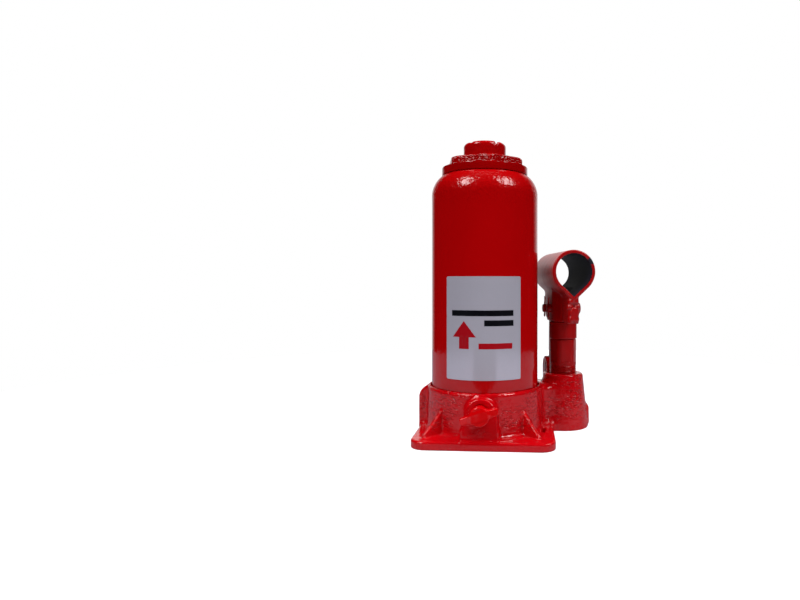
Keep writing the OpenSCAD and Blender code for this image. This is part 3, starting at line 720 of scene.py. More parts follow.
def makeReservoir(t):
    # the outer half of its section, and the same line again one wall thickness in, turned about the ram axis
    def half(radius, arc, top):
        # up the wall, round the shoulder, and in to the opening
        end = math.asin((top - t["shoulderHeight"]) / arc)
        angles = np.linspace(0, end, 24)
        arcPart = np.stack([radius - arc + arc * np.cos(angles), t["shoulderHeight"] + arc * np.sin(angles)], -1)
        wall = np.stack([np.full(30, radius), np.linspace(t["foot"], t["shoulderHeight"], 30)], -1)
        return np.vstack([wall[:-1], arcPart, [[t["opening"], top]]])
    outer = half(t["radius"], t["shoulder"], t["top"])
    inner = half(t["radius"] - t["wall"], t["shoulder"] - t["wall"], t["top"] - t["wall"])
    profile = np.vstack([outer, inner[::-1]])
    makePiece("reservoir", *lathe(profile, 288, wrap=True), "jack_base", "smooth_red", ["reservoir_tube"], tankPaint)


makeReservoir(tank)

rating = {"turn": -87.8, "arc": 81, "low": 47.4, "high": 123.2, "radius": 42, "thick": 0.2, "corner": 1.2,
          "ink": 0.03}
# The printed marks, as left, right, bottom and top in millimetres on the film.
printed = {
    "upperLine": ("bar", labelBlack, -24.5, 23.2, 94.2, 98.4),
    "lowerLine": ("bar", labelBlack, 0.7, 23.2, 86.9, 91.2),
    "smallLine": ("bar", labelRed, -3.4, 22.2, 70.2, 74.4),
    "liftArrow": ("arrow", labelRed, -23.7, -5.3, 70.2, 90.6),
}


def curvedSheet(outline, radius, thick, turn):
    # A flat outline, given as rows of left and right ends at each height, wrapped on a cylinder and given thickness.
    # Rows of points run across it: outer face, then inner face.
    columns = 48
    rows = []
    for left, right, height in outline:
        rows.append([(s, height) for s in np.linspace(left, right, columns)])
    flat = np.array(rows)
    angle = math.radians(turn) + flat[..., 0] / radius
    n = len(rows)
    shells = [np.stack([q * np.cos(angle), q * np.sin(angle), flat[..., 1]], -1).reshape(-1, 3)
              for q in (radius + thick, radius)]
    front = gridFaces(n, columns)
    back = front[:, ::-1] + n * columns
    bottom, top = np.arange(columns), np.arange(columns) + (n - 1) * columns
    leftEdge, rightEdge = np.arange(n) * columns, np.arange(n) * columns + columns - 1
    loop = np.concatenate([bottom, rightEdge[1:], top[::-1][1:], leftEdge[::-1][1:-1]])
    after = np.roll(loop, -1)
    sides = np.stack([loop + n * columns, after + n * columns, after, loop], -1)
    return np.vstack(shells), np.vstack([front, back, sides])


def makeLabel(r):
    # a film with round corners, cut row by row, and the marks as thin sheets on top of it
    half = math.radians(r["arc"] / 2) * r["radius"]
    corner = r["corner"]
    heights = [r["low"] + corner * (1 - math.cos(t)) for t in np.linspace(0, math.pi / 2, 6)]
    insets = [corner * (1 - math.sin(t)) for t in np.linspace(0, math.pi / 2, 6)]
    outline = [(-half + i, half - i, h) for i, h in zip(insets, heights)]
    outline += [(-half + i, half - i, r["high"] + r["low"] - h) for i, h in zip(insets[::-1], heights[::-1])]
    makePiece("ratingLabel", *curvedSheet(outline, r["radius"], r["thick"], r["turn"]), "jack_base", "label_grey",
              ["rating_label"], labelFilm)
    for name, (kind, material, left, right, low, high) in printed.items():
        outline = [(left, right, low), (left, right, high)]
        if kind == "arrow":
            # a shaft, then a head that narrows to the top
            share = 0.42        # the shaft's share of the arrow's width, and of its height
            mid, reach, neck = (left + right) / 2, (right - left) / 2, low + share * (high - low)
            outline = [(mid - share * reach, mid + share * reach, h) for h in (low, neck)]
            outline += [(mid - reach * (1 - t), mid + reach * (1 - t), neck + 0.02 + t * (high - neck))
                        for t in np.linspace(0, 0.98, 10)]
        makePiece(name, *curvedSheet(outline, r["radius"] + r["thick"], r["ink"], r["turn"]), "jack_base", "label_grey",
                  (), material)


makeLabel(rating)
print("tank and label made")

cap = {
    "flange": 34, "low": 203, "flangeThick": 5.95, "flangeEdge": 0.4, "flangeFillet": 1.6,
    "top": 215.5, "hexCorner": 31.8, "hexTurn": -79, "hexEdge": 1.2,
    "chamfer": (37.7, 202.5, 7.6, 13),  # a cone's radius, at this height, and how much it narrows in how much rise
    "chamferEven": 0.863,               # the cosine of its slope, which turns that into a distance
    "spigot": (28.3, 199, 9),           # radius, middle height, half height
    "spigotBore": (25.5, 200), "ramBore": 19.5, "sealGroove": (22, 206, 2), "wiperSeat": (21.6, 212.5),
    "lump": 0.03, "step": 0.6,
}


def capField(x, y, z):
    # a round flange with a hexagon above it, chamfered by a cone, on a spigot that goes down into the tank
    c = cap
    r = np.hypot(x, y)
    flatTo = c["hexCorner"] * math.cos(math.pi / 6)
    sides = [abs(x * math.cos(a) + y * math.sin(a)) - flatTo
             for a in (math.radians(c["hexTurn"] + 30 + 60 * k) for k in range(3))]
    hexagon = softMax(softMax(sides[0], sides[1], c["hexEdge"]), sides[2], c["hexEdge"])
    wide, at, narrows, rise = c["chamfer"]
    cone = (r - wide + narrows * (z - at) / rise) * c["chamferEven"]
    shape = slab(softMax(hexagon, cone, 0.6), z, c["low"] - 4, c["top"], 1.2)
    flange = slab(r - c["flange"], z, c["low"], c["low"] + c["flangeThick"], c["flangeEdge"])
    shape = softMin(shape, flange, c["flangeFillet"])
    shape = shape + c["lump"] * ripple(x, y, z, 6, 11, squash=1.6)
    wide, middle, half = c["spigot"]
    shape = np.minimum(np.maximum(shape, c["low"] - z), np.maximum(r - wide, abs(z - middle) - half))
    wide, middle, half = c["sealGroove"]
    for hole in (np.maximum(r - c["spigotBore"][0], z - c["spigotBore"][1]), r - c["ramBore"],
                 np.maximum(r - wide, abs(z - middle) - half),
                 np.maximum(r - c["wiperSeat"][0], c["wiperSeat"][1] - z)):
        shape = np.maximum(shape, -hole)
    return shape


makePiece("topNut", *surfaceNet(capField, (-35.6, -35.6, 189), (35.6, 35.6, 217), cap["step"]), "jack_base", "cast_red",
          ["top_nut"], nutPaint, sharp=30)
makePiece("ramWiper", *lathe(roundCorners([(19.5, 212.6), (21.55, 212.6), (21.55, 215.6, 0.3), (20.6, 215.6, 0.3),
                                           (19.6, 216.1, 0.15), (19.5, 215.9)]), 160, wrap=True),
          "jack_base", "seal_rubber", ["ram_wiper"], sealRubber)

saddleShape = {
    "radius": 16.8, "low": 216.5, "top": 229, "edge": 2.8, "crown": 0.7,
    "groove": 1.2, "deep": 2.0, "pad": 9.6,  # width and depth of a groove, and how far it is from the middle
    "worn": 0.35,                            # how much of that depth is left on the worn side
    "screwHole": (9.05, 223.6),
    "lump": 0.02, "step": 0.36,
}


def saddleField(x, y, z):
    # A round pad with two grooves each way across its top, worn shallow on one side, and a hole for the screw's end
    # below.
    s = saddleShape
    r = np.hypot(x, y)
    level = z + s["crown"] * (r / s["radius"]) ** 2
    upper = slab(r - s["radius"], level, s["low"] - 6, s["top"], s["edge"])
    shape = np.maximum(upper, s["low"] - z) + s["lump"] * ripple(x, y, z, 5, 21)
    shape = softMax(shape, s["low"] + 0.05 - z, 0.6)
    for across in (x, y):
        floor = s["top"] - s["deep"] * np.where(across > 0, 1, s["worn"])
        cut = np.maximum(abs(abs(across) - s["pad"]) - s["groove"] / 2, floor - level)
        shape = softMax(shape, -cut, 1.3)
    return np.maximum(shape, -np.maximum(r - s["screwHole"][0], z - s["screwHole"][1]))


makePiece("saddlePad", *surfaceNet(saddleField, (-18, -18, 215.4), (18, 18, 230.2), saddleShape["step"]), "screw",
          "smooth_red", ["saddle"], saddlePaint)
print("top nut and saddle made")

liftScrew = {
    "radius": 14, "root": 12.7, "pitch": 4, "low": 115, "top": 216.4,
    "threadLow": 121,                # where the thread starts, above the stop ring
    "groove": (117.9, 0.9, 12.0),    # the stop ring's groove: middle, half width, radius
    "chamfer": 13.4,                 # radius of its end faces
    "stub": (9.0, 223.0, 8.5, 223.5),  # the end in the saddle: radius and height at its edge, then at its face
    "segments": 96, "step": 0.25,
}


def makeLiftScrew(s):
    # A right-hand thread: at each turn and height the radius follows a trapezoid wave of height less turn. The thread
    # fades out at both ends, and at the stop ring's groove.
    turn = np.linspace(0, 2 * math.pi, s["segments"], endpoint=False)[None, :]
    z = np.arange(s["low"] + 0.6, s["top"] - 0.6, s["step"])[:, None]
    wave = abs((z / s["pitch"] - turn / (2 * math.pi)) % 1 - 0.5) * 2
    depth = np.clip((0.5 - wave) / 0.28 + 0.5, 0, 1)
    fade = np.clip((s["top"] - 3 - z) / 2, 0, 1) * np.clip((z - s["threadLow"]) / 2, 0, 1)
    r = s["radius"] - (s["radius"] - s["root"]) * depth * fade
    middle, half, floor = s["groove"]
    r = np.where(abs(z - middle) < half, floor, r) + 0 * turn
    stub, stubEdge, stubFace, stubTop = s["stub"]
    below = [(axisGap, s["low"]), (s["chamfer"], s["low"])]
    above = [(s["chamfer"], s["top"]), (stub, s["top"]), (stub, stubEdge), (stubFace, stubTop), (axisGap, stubTop)]
    rings = [(np.full(s["segments"], q), np.full(s["segments"], h)) for q, h in below]
    rings += [(r[k], np.full(s["segments"], z[k, 0])) for k in range(len(z))]
    rings += [(np.full(s["segments"], q), np.full(s["segments"], h)) for q, h in above]
    radius, height = (np.array([ring[k] for ring in rings]) for k in (0, 1))
    points = np.stack([radius * np.cos(turn), radius * np.sin(turn), height], -1).reshape(-1, 3)
    faces = gridFaces(len(rings), s["segments"], wrapColumns=True).tolist()
    faces.append(list(range(s["segments"]))[::-1])
    faces.append([(len(rings) - 1) * s["segments"] + k for k in range(s["segments"])])
    makePiece("liftScrew", points, faces, "screw", "ground_steel", ["extension_screw"], groundSteel, sharp=30)


makeLiftScrew(liftScrew)
# Up from the piston's bolt hole, out round the piston, up the outside, and down the screw's bore to its floor.
ramProfile = roundCorners([(axisGap, 42), (4, 42), (4, 28), (8, 28, 0.4), (8, 38), (22.4, 38, 0.6), (22.4, 46, 0.6),
                           (19.45, 46), (19.45, 216.5, 0.6), (14.6, 216.5, 0.5), (14.06, 215.4), (14.06, 190.9),
                           (15.5, 190.9), (15.5, 108), (axisGap, 108)], steps=4)
makePiece("liftRam", *lathe(ramProfile, 192), "ram", "ground_steel", ["ram_tube"], groundSteel, sharp=30)
print("ram and screw made")

valveShape = {
    "axis": foot["valveHeight"],
    "tilt": 17, "reach": 14, "halfMiddle": 3.2, "halfEnd": 2.4, "ears": (57.8, 62.7),
    "head": 6.9, "headSpan": (55.6, 63.0),
    # radius, then its middle along the axis and half its length
    "stem": (5.45, 52, 5), "shank": (5.9, 47.3, 4.7), "nose": (3, 41, 2.6), "sealGroove": (4.6, 48, 1),
    "pitch": 1.5, "thread": 0.25,
    "lump": 0.02, "step": 0.32,
}


def valveField(x, y, z):
    # Out from the seat: nose, threaded shank, stem, a domed head, and two ears that thin towards their ends.
    s = valveShape
    out, up = -y, z - s["axis"]
    r = np.hypot(x, up)
    c, t = math.cos(math.radians(s["tilt"])), math.sin(math.radians(s["tilt"]))
    along, over = x * c + up * t, up * c - x * t
    half = s["halfMiddle"] + (s["halfEnd"] - s["halfMiddle"]) * np.clip(abs(along) / s["reach"], 0, 1)
    ears = slab(rectangle(along, over, s["reach"], half, 1.3), out, *s["ears"], 0.8)
    head = slab(r - s["head"], out, *s["headSpan"], 0.9)
    shape = softMin(ears, head, 2.2) + s["lump"] * ripple(x, y, z, 5, 31)
    wave = 1 + np.sin(out * 2 * math.pi / s["pitch"] - np.arctan2(up, x))
    stem, shank, nose, groove = s["stem"], s["shank"], s["nose"], s["sealGroove"]
    parts = [np.maximum(r - stem[0], abs(out - stem[1]) - stem[2]),
             np.maximum(r - shank[0] + s["thread"] * wave, abs(out - shank[1]) - shank[2]),
             np.maximum(r - nose[0], abs(out - nose[1]) - nose[2])]
    shape = np.minimum(np.minimum(softMin(shape, parts[0], 1), parts[1]), parts[2])
    return np.maximum(shape, -np.maximum(groove[0] - r, abs(out - groove[1]) - groove[2]))


makePiece("releaseValve", *surfaceNet(valveField, (-15.2, -64.6, 17), (15.2, -37.4, 34.6), valveShape["step"]),
          "release_valve", "pin_red", ["release_valve_screw"], valvePaint)
print("release valve made")

pumpShape = {
    "radius": 10.9, "flat": 10.25, "flatLow": 53.4, "flatTop": 72.2, "collar": 11.35, "collarEdge": 0.9,
    "low": 24, "lowRadius": 10.0, "top": 86.2,
    "pitch": 1.25, "thread": 0.55, "threadHigh": 51.0,
    "bore": 7.05, "mouth": 7.6, "sealGroove": (9, 79.1, 81.9),  # the groove's radius, bottom and top
    "segments": 144, "step": 0.22,
}


def makePump(s):
    # The radius at each turn and height: a threaded foot, a hexagon with rounded corners chamfered at its top, then a
    # round collar with soft edges. The bore runs down the middle.
    turn = np.linspace(0, 2 * math.pi, s["segments"], endpoint=False)[None, :]
    z = np.arange(s["low"], s["top"] + 0.01, s["step"])[:, None]
    wave = 0.5 + 0.5 * np.cos(2 * math.pi * (z / s["pitch"]) - turn)
    fade = np.clip((s["threadHigh"] - z) / 1.2, 0, 1)
    r = np.where(z < s["threadHigh"], s["radius"] - s["thread"] * (1 - wave) * fade, s["radius"])
    side = (turn - math.radians(swung)) % (math.pi / 3) - math.pi / 6
    flat = s["flat"] / np.cos(side)
    chamfer = s["flat"] - 0.3 + 0.9 * (s["flatTop"] - z)
    r = np.where(z > s["flatLow"], np.minimum(r, np.minimum(flat, np.maximum(chamfer, s["flat"] - 0.5))), r)
    rounding = s["collarEdge"]
    fromEdge = np.minimum(z - s["flatTop"], s["top"] - z)
    bevel = rounding - np.sqrt(np.maximum(rounding ** 2 - np.clip(rounding - fromEdge, 0, rounding) ** 2, 0))
    r = np.where(fromEdge > 0, s["collar"] - bevel, r)
    column = np.ones_like(turn)
    rows = list(zip(r * column, z[:, 0]))
    bore, (groove, grooveLow, grooveTop) = s["bore"], s["sealGroove"]
    inside = [(s["mouth"], s["top"]), (bore, s["top"] - 0.5), (bore, grooveTop + 0.1), (groove, grooveTop),
              (groove, grooveLow), (bore, grooveLow - 0.1), (bore, s["low"])]
    rows = [(s["lowRadius"] * column[0], s["low"])] + rows + [(q * column[0], h) for q, h in inside]
    radius = np.array([a for a, _ in rows])
    height = np.array([b for _, b in rows])[:, None] * column
    points = np.stack([pumpAt[0] + radius * np.cos(turn), pumpAt[1] + radius * np.sin(turn), height], -1)
    faces = gridFaces(len(rows), s["segments"], wrapRows=True, wrapColumns=True)
    makePiece("pumpBody", points.reshape(-1, 3), faces, "jack_base", "pin_red", ["pump_body"], pinPaint, sharp=35)


makePump(pumpShape)


plunger = {
    "radius": 7, "low": 34, "tongueLow": 89, "tongueHalf": 4.6,
    "eye": (5.1, 4.25, 4.2),       # half length, half height, corner radius
    "spigot": (4, 31.5, 3.5),      # carries the cup: radius, middle height, half height
    "step": 0.36,
}


def plungerField(u, v, z):
    # a round rod with a flat tongue at its top, rounded about the pin, with a long eye through it
    p = plunger
    r, pinUp = np.hypot(u, v), plungerPinAt[1]
    rounded = np.where(z > pinUp, np.hypot(u, z - pinUp) - p["radius"], abs(u) - p["radius"])
    tongue = np.maximum(rounded, abs(v) - p["tongueHalf"])
    rod = np.maximum(r - p["radius"], np.where(z > p["tongueLow"], tongue, -1))
    thin, middle, half = p["spigot"]
    shape = np.minimum(np.maximum(rod, p["low"] - z), np.maximum(r - thin, abs(z - middle) - half))
    return np.maximum(shape, -rectangle(u, z - pinUp, *p["eye"]))


points, faces = surfaceNet(plungerField, (-7.6, -7.6, 27.4), (7.6, 7.6, 105), plunger["step"])
makePiece("plungerRod", fromLinkage(points), faces, "plunger", "ground_steel", ["pump_plunger"], groundSteel,
          sharp=30)
print("pump made")

socketShape = {
    "bore": 14.2, "sheet": 2.7, "axis": 127, "half": 35, "tip": 107.5, "tipSheet": 3.6,
    "bulge": 10.3, "bulgeAt": 2.8,          # the cheeks' outline round the plunger: half width, how far ahead
    "room": 7.3,                            # half the gap inside there
    "gap": (4.7, 2.6, -20.4, 3.8),          # half the gap in the tail, how much it widens, from where, in what length
    "cheekEdge": 0.9, "cheekCorner": 10.1, "cheekLow": 96.6, "cheekTop": 124,
    "cheekEnds": (-24.9, 33.5),             # the middle of the rounded tail, and the front of the nose
    "weldAt": 32.4,
    # the weld's beads: height, radius, how far across
    "weld": [(90.3, 2.9, -1.7), (90.1, 2.9, 1.6), (94.9, 4.1, 0.4), (99.3, 2.5, -2.9), (99.5, 2.4, 3.0),
             (103.6, 2.6, -1.9), (103.8, 2.5, 1.6), (106.2, 2.4, -0.2)],
    "weldFlat": 0.9,                        # below 1 the beads are taller than wide
    "drip": ((31, 4.2, 96.4), 1.5),
    "pinHole": 3.5,
    "lump": 0.03, "step": 0.6,
}


def teardrop(v, z, radius, tip):
    # A circle about the socket's axis, with two flat sides that meet below it at the tip's height.
    s = socketShape
    spread = math.acos(radius / (s["axis"] - tip))
    a, b = abs(v), s["axis"] - z
    alongSide = b * math.sin(spread) - a * math.cos(spread)
    return np.where(alongSide > 0, a * math.sin(spread) + b * math.cos(spread), np.hypot(a, b)) - radius


def slotField(u, v, z):
    # the room between the cheeks, narrower behind the plunger
    s = socketShape
    ahead = s["bulgeAt"]
    narrow, widens, start, length = s["gap"]
    taper = np.clip((u - start) / length, 0, 1) * widens + narrow
    return np.maximum(np.where(u > ahead, np.hypot(u - ahead, v) - s["room"], abs(v) - taper), z - 126)


def socketField(u, v, z):
    # A tube bent from sheet, drawn to a point below, welded on two cheeks. The cheeks bulge round the plunger, and
    # narrow to a nose ahead and a tail behind. Weld runs down the front of the nose.
    s = socketShape
    ends = abs(u) - s["half"]
    outer = teardrop(v, z, s["bore"] + s["sheet"], s["tip"] - s["tipSheet"])
    inner = teardrop(v, z, s["bore"], s["tip"])
    tube = slab(outer, u, -s["half"], s["half"], 0.9)
    bulge = np.minimum(np.hypot(u - s["bulgeAt"], v), rectangle(u + 6.6, v, 9.4, 0)) - s["bulge"]
    bulge = np.maximum(bulge, -16.2 - u + 0.9 * np.maximum(abs(v) - 7, 0))
    tail, nose = rectangle(u + 20, v, 15, 7.4), rectangle(u - 15, v, 18.5, 4)
    plan = softMin(softMin(bulge, tail, 1.5), nose, 4)
    # Seen from the side, the cheeks' lower corner at the back is round.
    back, front = s["cheekEnds"]
    a, b, size = back - u, s["cheekLow"] - z, s["cheekCorner"]
    corner = np.where((a > 0) & (b > 0), np.hypot(a, b) - size, np.maximum(np.maximum(a, b) - size, u - front))
    cheeks = np.maximum(slab(plan, corner, -40, 0, s["cheekEdge"]), z - s["cheekTop"])
    shape = softMin(tube, cheeks, 1.6)
    for height, size, side in s["weld"]:
        bead = np.sqrt((u - s["weldAt"]) ** 2 + (v - side) ** 2 + (s["weldFlat"] * (z - height)) ** 2) - size
        shape = softMin(shape, bead, 0.7)
    (ahead, side, height), size = s["drip"]
    drip = np.sqrt((u - ahead) ** 2 + (v - side) ** 2 + (z - height) ** 2) - size
    shape = softMin(shape, drip, 0.6)
    shape = shape + s["lump"] * ripple(u, v, z, 8, 41)
    shape = np.maximum(shape, -inner)
    shape = np.maximum(shape, -slotField(u, v, z))
    for ahead, up in (plungerPinAt, topPinAt):
        shape = np.maximum(shape, -(np.hypot(u - ahead, z - up) - s["pinHole"]))
    return np.maximum(shape, ends)


points, faces = surfaceNet(socketField, (-36.2, -18.4, 85.2), (36.2, 18.4, 145.4), socketShape["step"])
socket = makePiece("handleSocket", fromLinkage(points), faces, "socket", "smooth_red", ["handle_socket"], socketPaint)
# The faces inside the bore, and between the cheeks, get a near black: the bare tube's scale, and painted shade in
# the bore's bottom and between the cheeks.
u, v, z = points[faces].mean(axis=1).T
bore = teardrop(v, z, socketShape["bore"], socketShape["tip"])
within = ((abs(bore) < 0.2) | (abs(slotField(u, v, z)) < 0.2)) & (abs(u) < socketShape["half"] - 0.3)
socket.data.materials.append(tubeScaleAndShade)
socket.data.polygons.foreach_set("material_index", within.astype(np.int32))
print("handle socket made")


linkShape = {"half": 6, "eye": 7.6, "halfThick": 4.3, "edge": 1, "fillet": 4, "holes": (4.08, 3.58), "step": 0.5}


def linkField(u, v, z):
    # a flat bar from pin to pin, which is the distance to the line between them, with a round eye at each end
    s = linkShape
    ahead, up = topPinAt[0] - basePinAt[0], topPinAt[1] - basePinAt[1]
    a, b = u - basePinAt[0], z - basePinAt[1]
    t = np.clip((a * ahead + b * up) / (ahead ** 2 + up ** 2), 0, 1)
    bar = np.hypot(a - ahead * t, b - up * t) - s["half"]
    toBase, toTop = np.hypot(a, b), np.hypot(u - topPinAt[0], z - topPinAt[1])
    eyes = np.minimum(toBase, toTop) - s["eye"]
    shape = slab(softMin(bar, eyes, s["fillet"]), v, -s["halfThick"], s["halfThick"], s["edge"])
    return np.maximum(shape, -np.minimum(toBase - s["holes"][0], toTop - s["holes"][1]))


points, faces = surfaceNet(linkField, (-37, -5.2, 36.6), (-17.4, 5.2, 104.6), linkShape["step"])
makePiece("linkBar", fromLinkage(points), faces, "link", "pin_red", ["link_bar"], pinPaint)

# Each cross pin: where it stands in the linkage plane, its profile across it from left to right, where its split pin
# stands, and how far that reaches up.
crossPins = {
    "basePin": (basePinAt, [(axisGap, -9.3), (5.5, -9.3, 0.4), (4, -7.8), (4, 13, 0.7), (axisGap, 13)], 11.2, 6,
                "jack_base", "link_base_pin", "link_base_split_pin"),
    "topPin": (topPinAt, [(axisGap, -11.2), (3.5, -11.2, 0.7), (3.5, 7.5), (5.2, 7.5, 0.3), (5.2, 10.1, 0.9),
                          (axisGap, 10.1)], -9.6, 10.5, "socket", "link_top_pin", "link_top_split_pin"),
    "plungerPin": (plungerPinAt, [(axisGap, -13.6), (3.5, -13.6, 0.7), (3.5, 10.4), (4.7, 10.4, 0.3), (4.7, 14.2, 1),
                                  (axisGap, 14.2)], -12.2, 5.4, "socket", "plunger_pin", "plunger_split_pin"),
}


splitPin = {"wire": 0.44, "eye": 1.25, "eyeDrop": -5.8, "sides": 12}


def makeCrossPin(name, at, profile, splitAt, tail, body, node, splitNode):
    # the profile turned about the pin's own axis, which lies across the linkage
    points, faces = lathe(roundCorners(profile), 64)
    x, y, z = points.T
    makePiece(name, fromLinkage(np.stack([at[0] + x, z, at[1] + y], -1)), [f[::-1] for f in faces], body, "pin_red",
              [node], pinPaint)
    # The split pin is one wire: up one leg, round the eye below, and back up the other leg, whose end is bent out.
    gauge, size, drop = splitPin["wire"], splitPin["eye"], splitPin["eyeDrop"]
    loop = np.linspace(0.35 * math.pi, -1.35 * math.pi, 22)
    eye = [(size * math.cos(t), drop + size * math.sin(t)) for t in loop]
    bend = [(-gauge, -3.6), (-gauge, 4.4), (-0.2, 5.6), (0.9, 7.2), (2.3, 9.0)]
    path = [(gauge, tail), (gauge, tail - 0.4), (gauge, 2), (gauge, -3.6)] + eye + bend
    points, faces = sweepTube([(at[0] + a, splitAt, at[1] + b) for a, b in path], gauge, splitPin["sides"])
    makePiece(name + "Split", fromLinkage(points), faces, body, "pin_red", [splitNode], pinPaint)


for name, values in crossPins.items():
    makeCrossPin(name, *values)

# The filler plug is pressed through the tank's back: a bead inside, a neck in the hole, and a button outside.
plugHeight = 165
plug = roundCorners([(axisGap, 36), (5.6, 36), (5.6, 39.1), (4.4, 39.4), (4.4, 42.3), (7, 42.3, 0.3), (7, 45, 1.2),
                     (axisGap, 45)])
points, faces = lathe(plug, 64)
makePiece("fillerPlug", np.stack([points[:, 0], points[:, 2], plugHeight - points[:, 1]], -1), faces, "jack_base",
          "seal_rubber", ["filler_plug"], sealRubber)
print("linkage pins and plug made")

# Each valve spring: the wire's radius, its turns, the joint of the ball that presses it, and how far that travels.
springs = {
    "outletSpring": ("outlet_spring", 0.4, 4, "outlet_ball_lift", 1.2),
    "safetySpring": ("safety_spring", 0.5, 3, "safety_ball_lift", 0.6),
}


def makeSpring(name, node, gauge, turns, joint, travel):
    # Wire wound on a helix inside the CAD spring's box.
    low, high = (np.array(corner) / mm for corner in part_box(node))
    middle, reach = (low + high) / 2, (high[0] - low[0]) / 2 - gauge
    a = np.linspace(0, 2 * math.pi * turns, 20 * turns + 1)
    up = np.linspace(low[2] + gauge, high[2] - gauge, len(a))
    path = np.stack([middle[0] + reach * np.cos(a), middle[1] + reach * np.sin(a), up], -1)
    spring = makePiece(name, *sweepTube(path, gauge, 10), "jack_base", "spring_steel", [node], springSteel)
    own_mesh(spring)


for name, values in springs.items():
    makeSpring(name, *values)
print("valve springs made")


# The stage: a pale grey floor that looks white to the camera, three soft lamps above, two of them in front, and
# surroundings that are bright behind the jack and dark ahead of it.


studio = {
    "behind": 1.0,             # brightness of the surroundings behind the jack
    "ahead": 0.004,            # and in front of it, where the room is dark
    "change": (0.66, 1.02),    # how far back a direction points where the one gives way to the other
    "floorReach": 540,
    "floorColour": (0.34, 0.35, 0.41, 1),
    "floorGlow": (0.9, 1.0),   # the floor's own glow, near the jack and far from it
    "glowReach": (0.15, 0.5),  # near and far, in metres
    "bounce": (0.15, 0.45),    # light the floor sends up, on the left and on the right
    "bounceReach": (-0.2, 0.2),
    "cardBlack": (0.003, 0.003, 0.003, 1),
    "cloth": [(-160, -525), (235, -525), (205, -412), (142, -276), (85, -250), (34, -240), (26, -75), (-16, -75),
              (-10, -240), (-50, -250), (-100, -276), (-140, -412)],
    "clothUp": 1,              # how far it lies above the floor
    "flag": [(8, 62), (46, 62), (46, 106), (33, 114), (31, 134), (18, 152), (8, 154)],
    "flagBack": 60,            # how far behind the ram axis it stands
    "flagEdge": 14,            # how wide its edges fade
    "flagNet": ((0, 56), (50, 164), 2.0),  # the net's reach across and up, and its step
    "lamps": [
        # name, place in millimetres, aimed at, size across and up, power
        ("leftLamp", (-880, -845, 1400), (0, 0, 120), (580, 860), 18),
        ("rightLamp", (1080, -596, 1380), (0, 0, 120), (580, 860), 18),
        ("topLamp", (0, 0, 1900), (0, 0, 120), (900, 900), 18),
    ],
}


def onStage(name, points, faces, material):
    # a thing that belongs to the room, from points in millimetres
    mesh = bpy.data.meshes.new(name)
    mesh.from_pydata((np.asarray(points, float) * mm).tolist(), [], [list(f) for f in faces])
    mesh.materials.append(material)
    thing = bpy.data.objects.new(name, mesh)
    bpy.context.scene.collection.objects.link(thing)
    return thing


def makeWorld(s):
    # The world is white to the camera. To the object it is bright behind and dark in front, by the ray's direction.
    world = bpy.data.worlds.new("surroundings")
    bpy.context.scene.world = world
    world.use_nodes = True
    tree = world.node_tree
    tree.nodes.clear()
    ray = wire(tree, "ShaderNodeLightPath")
    way = wire(tree, "ShaderNodeTexCoord").outputs["Generated"]
    parts = wire(tree, "ShaderNodeSeparateXYZ", Vector=way)
    level = between(tree, parts.outputs["Y"], s["change"], s["ahead"], s["behind"], smooth=True)
    around = wire(tree, "ShaderNodeBackground", Color=(1, 1, 1, 1), Strength=level)
    seen = wire(tree, "ShaderNodeBackground", Color=(1, 1, 1, 1), Strength=1.0)
    mix = wire(tree, "ShaderNodeMixShader", i0=ray.outputs["Is Camera Ray"])
    tree.links.new(around.outputs[0], mix.inputs[1])
    tree.links.new(seen.outputs[0], mix.inputs[2])
    out = wire(tree, "ShaderNodeOutputWorld")
    tree.links.new(mix.outputs[0], out.inputs["Surface"])


def makeLamps(s):
    # Each lamp is a rectangle turned to face what it is aimed at. The top one shows in no reflection.
    for name, place, aim, size, power in s["lamps"]:
        lamp = bpy.data.lights.new(name, "AREA")
        lamp.shape = "RECTANGLE"
        lamp.size, lamp.size_y = size[0] * mm, size[1] * mm
        lamp.energy = power
        holder = bpy.data.objects.new(name, lamp)
        bpy.context.scene.collection.objects.link(holder)
        holder.location = [a * mm for a in place]
        toward = Vector(aim) - Vector(place)
        holder.rotation_euler = toward.to_track_quat("-Z", "Y").to_euler()
        holder.visible_glossy = name != "topLamp"


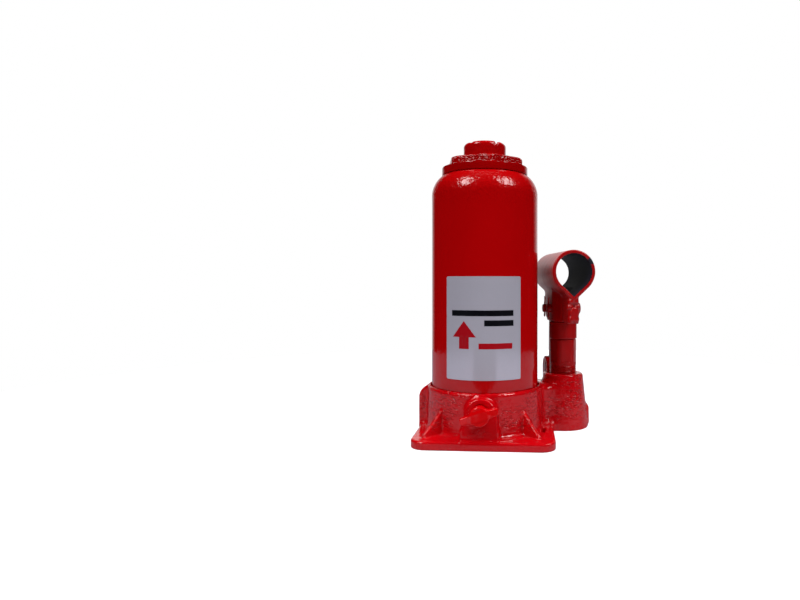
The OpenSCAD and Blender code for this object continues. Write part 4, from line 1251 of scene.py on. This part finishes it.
def makeFloor(s):
    # A round of pale grey paper. To the camera it also glows, so that it runs into the white behind it and keeps only
    # a soft shadow. It sends light up to rough surfaces too, more of it on the right.
    material, tree, shader = newMaterial("floorPaper", Base_Color=s["floorColour"], Roughness=0.7)
    ray = wire(tree, "ShaderNodeLightPath")
    place = wire(tree, "ShaderNodeTexCoord").outputs["Object"]
    away = wire(tree, "ShaderNodeVectorMath", {"operation": "LENGTH"}, i0=place).outputs["Value"]
    glow = between(tree, away, s["glowReach"], *s["floorGlow"])
    shader.inputs["Emission Color"].default_value = (1, 1, 1, 1)
    across = wire(tree, "ShaderNodeSeparateXYZ", Vector=place).outputs["X"]
    bounce = between(tree, across, s["bounceReach"], *s["bounce"])
    sent = calculate(tree, "ADD", calculate(tree, "MULTIPLY", glow, ray.outputs["Is Camera Ray"]),
                     calculate(tree, "MULTIPLY", bounce, ray.outputs["Is Diffuse Ray"]))
    tree.links.new(sent, shader.inputs["Emission Strength"])
    turn = np.linspace(0, 2 * math.pi, 96, endpoint=False)
    rim = np.stack([np.cos(turn), np.sin(turn), 0 * turn], -1) * s["floorReach"]
    onStage("floor", rim, [range(len(rim))], material)


def makeCards(s):
    # A dark cloth on the floor in front, and a dark flag behind, paint dark reflections: only the paint's reflections
    # show them. The flag is a net of points that is solid inside its outline and fades away across its edge.
    black = newMaterial("clothBlack", Base_Color=s["cardBlack"], Roughness=1.0)[0]
    cloth = onStage("cloth", [(x, y, s["clothUp"]) for x, y in s["cloth"]], [range(len(s["cloth"]))], black)
    gauze, tree, shader = newMaterial("flagBlack", Base_Color=s["cardBlack"], Roughness=1.0)
    shade = wire(tree, "ShaderNodeAttribute", {"attribute_name": "shade"})
    tree.links.new(shade.outputs["Fac"], shader.inputs["Alpha"])
    (left, right), (low, high), step = s["flagNet"]
    across, up = np.arange(left, right, step), np.arange(low, high, step)[:, None]
    share = np.clip(0.5 - polygonField(across, up, s["flag"]) / s["flagEdge"], 0, 1)
    net = np.stack(np.broadcast_arrays(across, float(s["flagBack"]), up), -1).reshape(-1, 3)
    flag = onStage("flag", net, gridFaces(*share.shape), gauze)
    flag.data.attributes.new("shade", "FLOAT", "POINT").data.foreach_set("value", share.astype(np.float32).ravel())
    for card in (cloth, flag):
        card.visible_camera = card.visible_diffuse = card.visible_shadow = False


makeWorld(studio)
makeLamps(studio)
makeFloor(studio)
makeCards(studio)
bpy.context.scene.view_settings.view_transform = "Standard"
print("stage set")
